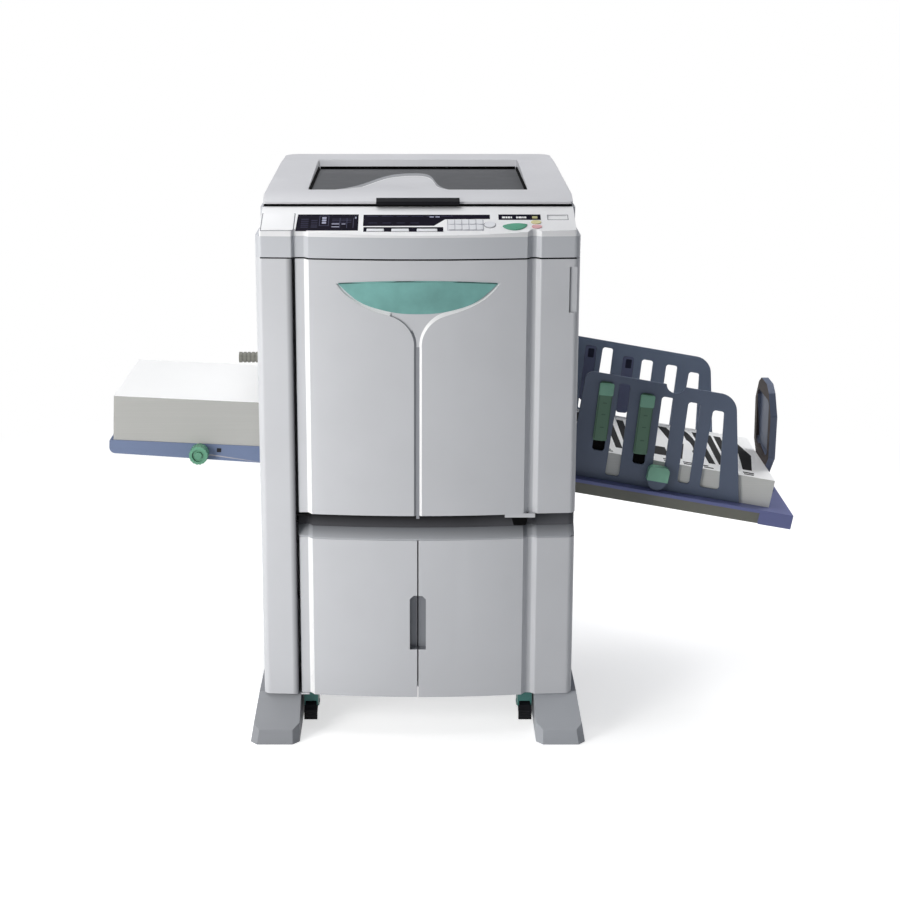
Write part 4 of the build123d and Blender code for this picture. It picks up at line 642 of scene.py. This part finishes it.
def is_cup(point, normal):
    """The finger cup that the cabinet's doors share."""
    x, y, z = in_casing(point)
    return 1.3 < abs(x) < 19.0 and 176.0 < z < 297.0 and -19.4 < y < 4.0


def is_left_flank(point, normal):
    """The flank left of the bowed middle, which faces the light and takes a painted highlight."""
    x, y, _ = in_casing(point)
    return -213.0 < x < -201.0 and y < 1.8 and normal.x < -0.3


def is_skirt(point, normal):
    """The receiving tray's grey underside."""
    reach, rise = along_out_tray(point)
    return reach < 399.0 and rise < -6.5


def is_stop_recess(point, normal):
    """The floor of the end stop's recess."""
    low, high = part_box("end_stop")
    return low.x + 0.0045 < point.x < low.x + 0.0085 and point.z > 0.43


def is_fence_side(point, normal):
    """A fence's ends and the edges of its slots, which keep the darker fence blue while the rear fence's
    faces take a copy painted lighter.
    """
    return abs(normal.y) < 0.5


def is_feed_inner(point, normal):
    """The feed tray's lower part beside the casing."""
    x, _, z = in_casing(point)
    return x > -400.0 and z < FEED_LEVEL - 20.0


def is_key_base(point, normal):
    """The sheet between the number pad's keys, by its height off the panel in millimetres."""
    start = on_panel(0.0, 0.0, 0.0)
    step = on_panel(0.0, 0.0, 1.0) - start
    return (point - start).dot(step) * 1e6 < 0.2


def is_hub(point, normal):
    """A wheel's middle, on the front or the rear axle."""
    _, y, z = in_casing(point)
    axle = 72.0 if y < 200.0 else 540.0
    return math.hypot(y - axle, z - 29.5) < 22.0


second_finish = {
    "machine_frame": ((is_apron, "apron"),),
    "stand_cabinet": ((is_deck, "deck"),),
    # The left flanks of the lower left door and the front door take a painted highlight
    "stand_door_left": ((is_cup, "cup"), (is_left_flank, "painted_highlight")),
    "front_door": ((is_left_flank, "painted_highlight"),),
    "stand_door_right": ((is_cup, "cup"),),
    "receiving_tray": ((is_skirt, "skirt"),),
    "end_stop": ((is_stop_recess, "stop_inner"),),
    "feed_tray": ((is_feed_inner, "feed_grey"),),
    "number_keypad": ((is_key_base, "key_base"),),
    "caster_wheel_left": ((is_hub, "hub"),),
    "caster_wheel_right": ((is_hub, "hub"),),
    "rear_wheels": ((is_hub, "hub"),),
    "fence_rear": ((is_fence_side, "fence"),),
}
SHARP = ("platen_glass", "paper_stack", "printed_stack", "panel_windows")
FLAT_SIDED = (
    "rear_cover",
    "left_side_cover",
    "right_side_cover",
    "stand_cabinet",
    "upper_housing",
    "machine_frame",
)


def paint(name, finish):
    """Gives a CAD node its finishes and its smooth or flat shading."""
    piece = nodes[name]
    others = second_finish.get(name, ())
    piece.data.materials.clear()
    for each in (finish, *(other for _, other in others)):
        piece.data.materials.append(finishes[each])
    for polygon in piece.data.polygons:
        polygon.material_index = 0
        for slot, (test, _) in enumerate(others, 1):
            if test(polygon.center, polygon.normal):
                polygon.material_index = slot
        polygon.use_smooth = name not in SHARP


def soften(name, piece):
    """Joins a CAD node's faces, and gives its rigid edges a small round."""
    weld = piece.modifiers.new("join_faces", "WELD")
    weld.merge_threshold = 0.00001
    if name in FLAT_SIDED:
        merge = piece.modifiers.new("merge_flats", "DECIMATE")
        merge.decimate_type = "DISSOLVE"
        merge.angle_limit = math.radians(0.3)
        merge.delimit = {"MATERIAL"}
    if name not in SHARP:
        bevel = piece.modifiers.new("soft_edges", "BEVEL")
        bevel.width = 0.0008
        bevel.segments = 2
        bevel.limit_method = "ANGLE"
        bevel.angle_limit = math.radians(35)
        bevel.use_clamp_overlap = True
        level = piece.modifiers.new("flat_faces", "WEIGHTED_NORMAL")
        level.mode = "FACE_AREA"
        level.weight = 50


for name, finish in finish_of.items():
    paint(name, finish)
for name, piece in nodes.items():
    soften(name, piece)


# Shapes made here

CORNER_STEPS = 4
FILM_LIFT = 0.25
LINE_LIFT = (0.02, 0.12)
GROOVE_FLOOR = -2.95
SLOT_LEAN = math.radians(4.3)
FRONT_FENCE_PLANE = 187.7
REAR_FENCE_PLANE = 490.3
# The arrangers' slots: letter, middle along the tray, foot and head above its floor
SLOTS = (("a", 47.0, 60.0, 205.0), ("b", 133.0, 46.0, 195.0))


def solid(name, body, finish, bm):
    """Turns a bmesh into a piece that rides on a body."""
    bmesh.ops.recalc_face_normals(bm, faces=bm.faces)
    mesh = bpy.data.meshes.new(name)
    bm.to_mesh(mesh)
    bm.free()
    mesh.materials.append(finishes[finish])
    piece = bpy.data.objects.new(name, mesh)
    bpy.context.scene.collection.objects.link(piece)
    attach(piece, body)
    return piece


def prism(bm, outline, where, low, high):
    """Adds a prism: a closed outline taken to two heights by a placing function."""
    lower = [bm.verts.new(where(u, v, low)) for u, v in outline]
    upper = [bm.verts.new(where(u, v, high)) for u, v in outline]
    bm.faces.new(lower[::-1])
    bm.faces.new(upper)
    count = len(outline)
    for i in range(count):
        j = (i + 1) % count
        bm.faces.new((lower[i], lower[j], upper[j], upper[i]))


def prisms(name, body, finish, outlines, where, low, high):
    """Several flat shapes at one height as one piece."""
    bm = bmesh.new()
    for outline in outlines:
        prism(bm, outline, where, low, high)
    return solid(name, body, finish, bm)


def skin(bm, rows):
    """Adds a surface through rows of points."""
    for first, second in zip(rows, rows[1:]):
        for k in range(len(first) - 1):
            bm.faces.new((first[k], second[k], second[k + 1], first[k + 1]))


def bar(u0, u1, v0, v1, round_by=0.0):
    """Outline of a rectangle, with rounded corners where asked."""
    if round_by <= 0.0:
        return [(u0, v0), (u1, v0), (u1, v1), (u0, v1)]
    points = []
    for u, v, start in ((u1, v0, -90), (u1, v1, 0), (u0, v1, 90), (u0, v0, 180)):
        middle_u = u - round_by if u == u1 else u + round_by
        middle_v = v - round_by if v == v1 else v + round_by
        for step in range(CORNER_STEPS + 1):
            angle = math.radians(start + 90 * step / CORNER_STEPS)
            points.append((middle_u + round_by * math.cos(angle), middle_v + round_by * math.sin(angle)))
    return points


def level_bars(u0, u1, rises, thick, round_by=0.0):
    """Outlines of equal bars, one above the other."""
    return [bar(u0, u1, v, v + thick, round_by) for v in rises]


def upright_bars(starts, width, v0, v1):
    """Outlines of equal bars, side by side."""
    return [bar(u, u + width, v0, v1) for u in starts]


def frame_bars(u0, u1, v0, v1, width):
    """Outlines of four bars that run round a rectangle."""
    return [
        bar(u0, u1, v0, v0 + width),
        bar(u0, u1, v1 - width, v1),
        bar(u0, u0 + width, v0 + width, v1 - width),
        bar(u1 - width, u1, v0 + width, v1 - width),
    ]


def ring_part(u, v, inner, outer, start, end, steps):
    """Outline of a curved stroke."""
    angles = [math.radians(start + (end - start) * step / steps) for step in range(steps + 1)]
    rim = [(u + outer * math.cos(a), v + outer * math.sin(a)) for a in angles]
    return rim + [(u + inner * math.cos(a), v + inner * math.sin(a)) for a in angles[::-1]]


def outline_of(node, height, keep):
    """Places where a node's edges run at one height, from left to right, in the casing's frame."""
    spots = {}
    for vertex in nodes[node].data.vertices:
        x, y, z = in_casing(vertex.co)
        if abs(z - height) < 0.1 and keep(x, y):
            spots[round(x, 1)] = min(y, spots.get(round(x, 1), y))
    return sorted(spots.items())


def strip(name, finish, line, out, deep, low, high):
    """A strip along a line seen from above: from just proud of it to some way behind it."""
    front = [(x, y - out) for x, y in line]
    back = [(x, y + deep) for x, y in line]
    prisms(name, "casing", finish, [front + back[::-1]], casing, low, high)


def lid_gap_shadow():
    """A flat black ring in the gap between scanner and lid, a little inside the lid's edge, as painted
    shadow in that gap.
    """
    bm = bmesh.new()
    outer = bar(-292.5, 292.5, 79.0, 592.0, 6.0)
    inner = bar(-281.0, 281.0, 91.0, 582.0, 2.0)
    low, high = TUB_TOP + 0.1, LID_BOTTOM - 0.1
    rings = [
        [bm.verts.new(casing(x, y, height)) for x, y in outline]
        for outline, height in ((outer, low), (outer, high), (inner, high), (inner, low))
    ]
    count = len(outer)
    for first, second in zip(rings, rings[1:] + rings[:1]):
        for i in range(count):
            j = (i + 1) % count
            bm.faces.new((first[i], first[j], second[j], second[i]))
    solid("lid_gap_shadow", "casing", "black_and_gap_shadow", bm)


def display_marks():
    """Generic blocks and strokes on the displays; nothing on them can be read."""
    faint = level_bars(-218.0, -204.0, (29.0, 36.0, 43.0, 50.0, 57.0), 1.6)
    faint += level_bars(-199.0, -187.0, (29.0, 33.5, 40.0, 46.5, 53.0), 1.4)
    faint += frame_bars(-184.0, -166.0, 34.0, 70.0, 1.2)
    faint += level_bars(-160.0, -124.0, (46.5, 52.0, 57.5), 1.2)
    faint += upright_bars((-146.0, -133.0, -121.0), 1.2, 27.0, 62.0)
    faint += upright_bars((-96.0, -68.0, -40.0, -12.0, 16.0, 44.0), 22.0, 68.0, 69.2)
    faint += upright_bars((-92.0, -66.0, -40.0, -14.0), 16.0, 44.0, 45.0)
    prisms("display_faint", "casing", "glyph", faint, on_panel, FILM_LIFT, 0.4)
    bright = level_bars(-179.0, -171.0, (42.0, 50.5, 59.0), 6.0, 1.0)
    bright += [
        bar(-160.5, -146.5, 39.5, 42.5),
        bar(-160.5, -146.5, 29.5, 32.0),
        bar(-142.0, -135.0, 39.5, 42.0),
        bar(-117.5, -115.0, 60.0, 66.0),
        bar(22.0, 30.0, 64.0, 67.5),
        bar(33.0, 41.0, 64.0, 67.5),
    ]
    prisms("display_bright", "casing", "glyph_bright", bright, on_panel, FILM_LIFT, 0.45)


def panel_marks():
    """Dashes beside the start key, and grey lines of painted shadow round the flap, the recess and the
    clear key.
    """
    white = []
    for left, widths in ((157.5, (6.0, 3.0, 4.6, 2.6)), (184.0, (3.4, 6.4, 2.6, 4.0))):
        for width in widths:
            white.append(bar(left, left + width, 61.2, 67.2, 1.2))
            left += width + 0.9
    prisms("legend_marks", "casing", "mark", white, on_panel, FILM_LIFT, 0.45)
    dot = [bar(214.0, 224.0, 60.5, 68.5, 1.5)]
    prisms("legend_dot", "casing", "mark_yellow", dot, on_panel, FILM_LIFT, 0.45)
    # Grey lines of painted shadow round the flap, the recess and the clear key
    flap = frame_bars(-292.6, -229.8, 17.0, 78.8, 1.8)
    prisms("flap_shadow_line", "casing", "line", flap, on_panel, *LINE_LIFT)
    edges = frame_bars(242.2, 281.8, 55.7, 74.3, 1.5)
    prisms("recess_shadow_line", "casing", "line", edges, on_panel, *LINE_LIFT)
    ring = [ring_part(134.0, 38.0, 10.5, 11.6, 0.0, 359.0, 40)]
    prisms("clear_key_shadow_ring", "casing", "line", ring, on_panel, *LINE_LIFT)


def gap_lines():
    """Black strips of painted shadow in the gaps below the band and at the top of the left column, and
    the lip of the deck above the cabinet's doors with the deck's painted shade.
    """
    def is_front(x, y):
        return y < front_depth(x) + 1.2

    # Painted shadow: black strips in the gaps below the band and at the column's top
    door = outline_of("front_door", DOOR_TOP, is_front)
    strip("band_gap_shadow", "black_and_gap_shadow", door, -0.3, 3.0, DOOR_TOP + 0.3, BAND_BOTTOM - 0.1)
    column = outline_of("left_column_cover", BAND_BOTTOM, lambda x, y: y < -0.5)
    strip("column_gap_shadow", "black_and_gap_shadow", column, 0.2, 0.1, BAND_BOTTOM - 2.0, BAND_BOTTOM + 0.4)
    doors = outline_of("stand_door_left", CABINET_DOOR_TOP, is_front)
    doors += outline_of("stand_door_right", CABINET_DOOR_TOP, is_front)
    strip("deck_lip", "deck", doors, -0.6, 4.0, CABINET_DOOR_TOP + 0.2, DECK_BOTTOM)


def swell_strip(name, finish, swell, front, near, far):
    """A strip on the lid's slope that follows the swell's edge and closes up at its ends."""
    bm = bmesh.new()
    rows = []
    for x, y in swell:
        fade = min(1.0, (y - front) / 60.0)
        depths = (y - near * fade, y - far * fade)
        rows.append([bm.verts.new(casing(x, depth, lid_rise(depth) + 0.15)) for depth in depths])
    skin(bm, rows)
    solid(name, "platen_cover", finish, bm)


def lid_window():
    """Black strips at the sides and back of the lid's window as painted shadow in the gaps there, and on
    the swell in it a grey band of painted shade and a light edge of painted highlight.
    """
    low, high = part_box("lid_inset")
    left, front, _ = in_casing(low)
    right, back, top = in_casing(high)

    def on_inset(x, y, lift):
        return casing(x, y, top + lift)

    def is_swell(x, y):
        return front + 0.5 < y < 330.0 and -160.5 < x < 58.5

    # Painted shadow in the gaps at the window's sides and back
    sides = [
        bar(left + 0.3, left + 4.0, front + 3.0, back - 5.0),
        bar(right - 4.0, right - 0.3, front + 3.0, back - 5.0),
    ]
    prisms("window_sides", "platen_cover", "black_and_gap_shadow", sides, on_inset, 0.05, 5.0)
    across = [bar(left + 5.0, right - 5.0, back - 4.0, back - 0.6)]
    prisms("window_back", "platen_cover", "black_and_gap_shadow", across, on_inset, 0.05, 5.5)
    swell = outline_of("lid_inset", top, is_swell)
    # A grey band of painted shade and a light line of painted highlight along the swell's edge
    swell_strip("swell_painted_shade_band", "swell", swell, front, 0.3, 30.0)
    swell_strip("swell_painted_highlight", "painted_highlight", swell, front, 30.2, 36.0)


def groove_rim(sign):
    """The groove's outer edge on one side of the front door, from the emblem's tip down."""
    mesh = nodes["front_door"].data
    spots = {}
    for polygon in mesh.polygons:
        if abs(polygon.normal.y) > 0.3 or polygon.normal.z < -0.2 or polygon.normal.x * sign > 0.3:
            continue
        for index in polygon.vertices:
            x, y, z = in_casing(mesh.vertices[index].co)
            on_face = abs(y - front_depth(x)) < 0.25
            if 5.0 < x * sign < 153.0 and 446.0 < z < EMBLEM_TOP and on_face:
                spots[round(z, 1)] = x
    return [(x, z) for z, x in sorted(spots.items(), reverse=True)]


def flank(name, finish, rim, sign, width):
    """A sloping flank from an edge of the groove down to its floor."""
    bm = bmesh.new()
    rows = []
    for index, (x, z) in enumerate(rim):
        before = rim[max(index - 1, 0)]
        after = rim[min(index + 1, len(rim) - 1)]
        aside = Vector((after[1] - before[1], before[0] - after[0])).normalized() * sign
        reach = width(abs(x))
        rows.append([
            bm.verts.new(on_bow(x, z, 0.05)),
            bm.verts.new(on_bow(x + aside.x * reach * 0.5, z + aside.y * reach * 0.5, -1.2)),
            bm.verts.new(on_bow(x + aside.x * reach, z + aside.y * reach, GROOVE_FLOOR)),
        ])
    skin(bm, rows)
    piece = solid(name, "unit_door", finish, bm)
    for polygon in piece.data.polygons:
        polygon.use_smooth = True


def wing_width(reach):
    """A flank's width, from the emblem's tip in to the stem."""
    return 1.5 + 5.5 * min(1.0, (153.0 - reach) / 90.0) - 2.5 * max(0.0, (40.0 - reach) / 32.5)


def groove_flanks():
    """The front door's groove: flanks that face the light with a painted highlight, painted shade on the
    flank left of the stem and on the stem's floor, and painted shadow along the emblem's top edge.
    """
    right = groove_rim(1)
    left = groove_rim(-1)
    left_wing = [spot for spot in left if spot[0] < -48.0]
    left_stem = [spot for spot in left if spot[0] > -17.0]
    # Painted highlight on the flanks that face the light
    flank("groove_right", "painted_highlight", right, 1, wing_width)
    flank("groove_left_wing", "painted_highlight", left_wing, -1, wing_width)
    # Painted shade on the flank left of the stem and on the stem's floor
    flank("groove_left_stem", "painted_groove_shade", left_stem, -1, lambda reach: 4.5)
    stem = [bar(-3.2, 2.9, 448.5, EMBLEM_TOP - 124.0)]
    prisms("groove_floor", "unit_door", "painted_groove_shade", stem, on_bow, GROOVE_FLOOR, -2.75)
    # Painted shadow along the emblem's top edge
    top = [(x, EMBLEM_TOP + 3.0 - 5.0 * (x / 148.0) ** 2) for x in range(-147, 148, 14)]
    lower = [(x, z - 2.4) for x, z in top[::-1]]
    prisms("emblem_shadow_edge", "unit_door", "emblem_painted_shadow", [top + lower], on_bow, 0.82, 0.95)


def leaning(middle, rise, plane):
    """Placing function of a fence's slot: across and up along its lean, then towards the front."""
    def put(across, up, front):
        u = middle + across * math.cos(SLOT_LEAN) - up * math.sin(SLOT_LEAN)
        w = rise + across * math.sin(SLOT_LEAN) + up * math.cos(SLOT_LEAN)
        return on_out_tray(u, plane - front, w)

    return put


def arranger_details():
    """Caps and ribs on the front arrangers, dark plates at the slots' feet, notches on the rear ones."""
    for letter, middle, foot, head in SLOTS:
        slot = head - foot
        length = slot - 21.0
        centre = (foot + head) / 2 + (slot - length) / 2 - 0.5
        tip = length / 2 - 2.0
        on_arranger = leaning(middle, centre, FRONT_FENCE_PLANE)
        bm = bmesh.new()
        prism(bm, bar(-14.3, 14.3, tip - 25.0, tip + 0.5, 3.0), on_arranger, 5.05, 7.6)
        prism(bm, bar(-12.0, 12.0, tip - 22.5, tip - 2.0, 2.5), on_arranger, 7.6, 8.4)
        solid("arranger_cap_" + letter, "front_arrangers", "cap", bm)
        ribs = upright_bars((-13.2, 11.6), 1.6, 4.0 - tip, tip - 28.0)
        ribs += level_bars(-4.0, 4.0, (-tip * 0.55, -tip * 0.1, tip * 0.3), 1.6)
        name = "arranger_ribs_" + letter
        prisms(name, "front_arrangers", "arranger_dark", ribs, on_arranger, 5.02, 5.5)
        on_slot = leaning(middle, (foot + head) / 2, FRONT_FENCE_PLANE)
        plate = [bar(-13.5, 13.5, -slot / 2 - 1.5, -slot / 2 + 24.0)]
        prisms("slot_foot_" + letter, "front_fence", "black_and_gap_shadow", plate, on_slot, -5.22, -5.05)
        on_rear = leaning(middle, centre, REAR_FENCE_PLANE)
        notch = [bar(-6.0, 7.0, tip - 24.0, tip - 4.0, 2.0)]
        prisms("rear_notch_" + letter, "rear_arrangers", "navy_dark", notch, on_rear, 0.05, 0.3)


def bold_shapes(start, pitch, front, depth):
    """A row of bold abstract shapes across the top sheet: wedges, half discs, bars and bends."""
    shapes = []

    def cell(index, points):
        left = start + pitch * index
        shapes.append([(left + u * pitch * 0.86, front + v * depth) for u, v in points])

    for index in (0, 4, 7):
        cell(index, [(0.0, 0.02), (0.3, 0.5), (0.0, 0.98), (0.46, 0.98), (0.96, 0.5), (0.46, 0.02)])
    for index in (1, 5):
        cell(index, ring_part(0.08, 0.5, 0.16, 0.5, -90, 90, 12))
        cell(index, bar(0.64, 0.98, 0.03, 0.97))
    for index in (2, 6):
        cell(index, [(0.0, 0.04), (0.36, 0.04), (0.48, 0.96), (0.1, 0.96)])
        cell(index, [(0.5, 0.04), (0.86, 0.04), (0.99, 0.96), (0.62, 0.96)])
    cell(3, bar(0.02, 0.98, 0.04, 0.3))
    cell(3, [(0.02, 0.97), (0.5, 0.36), (0.98, 0.97)])
    return shapes


def prints():
    """The top printed sheet: bold shapes, and two rows of short bars in front of them."""
    shapes = bold_shapes(20.0, 49.0, 232.0, 235.0)
    for index in range(9):
        left = 24.0 + 42.0 * index
        shapes.append(bar(left, left + 20.0, 203.0, 210.0))
        shapes.append(bar(left, left + 11.0 + 6.0 * (index % 3), 214.0, 221.0))
    low, high = STACK_TOP + 0.02, STACK_TOP + 0.12
    prisms("print_shapes", "casing", "ink_black", shapes, on_out_tray, low, high)


def feed_details():
    """The sensor window beside the feed tray's knob, and the knob's boss with a painted highlight."""
    def on_tray_front(u, v, depth):
        return on_feed_tray(u, 198.0 - depth, v)

    window = [bar(96.5, 105.5, -16.0, -7.5, 1.0)]
    prisms("tray_sensor", "feed", "black", window, on_tray_front, 0.02, 0.5)
    low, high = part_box("feed_knob")
    middle_x, _, middle_z = in_casing((low + high) / 2)
    front = in_casing(low)[1]

    def on_knob(u, v, out):
        return casing(middle_x + u, front + 3.0 - out, middle_z + v)

    turns = [math.radians(degrees) for degrees in range(0, 360, 12)]
    # The boss's pale green is a painted highlight
    boss = [(5.0 * math.cos(turn), 5.0 * math.sin(turn)) for turn in turns]
    prisms("knob_boss_painted_highlight", "knob", "boss", [boss], on_knob, 0.0, 2.5)


lid_gap_shadow()
display_marks()
panel_marks()
gap_lines()
lid_window()
groove_flanks()
arranger_details()
prints()
feed_details()
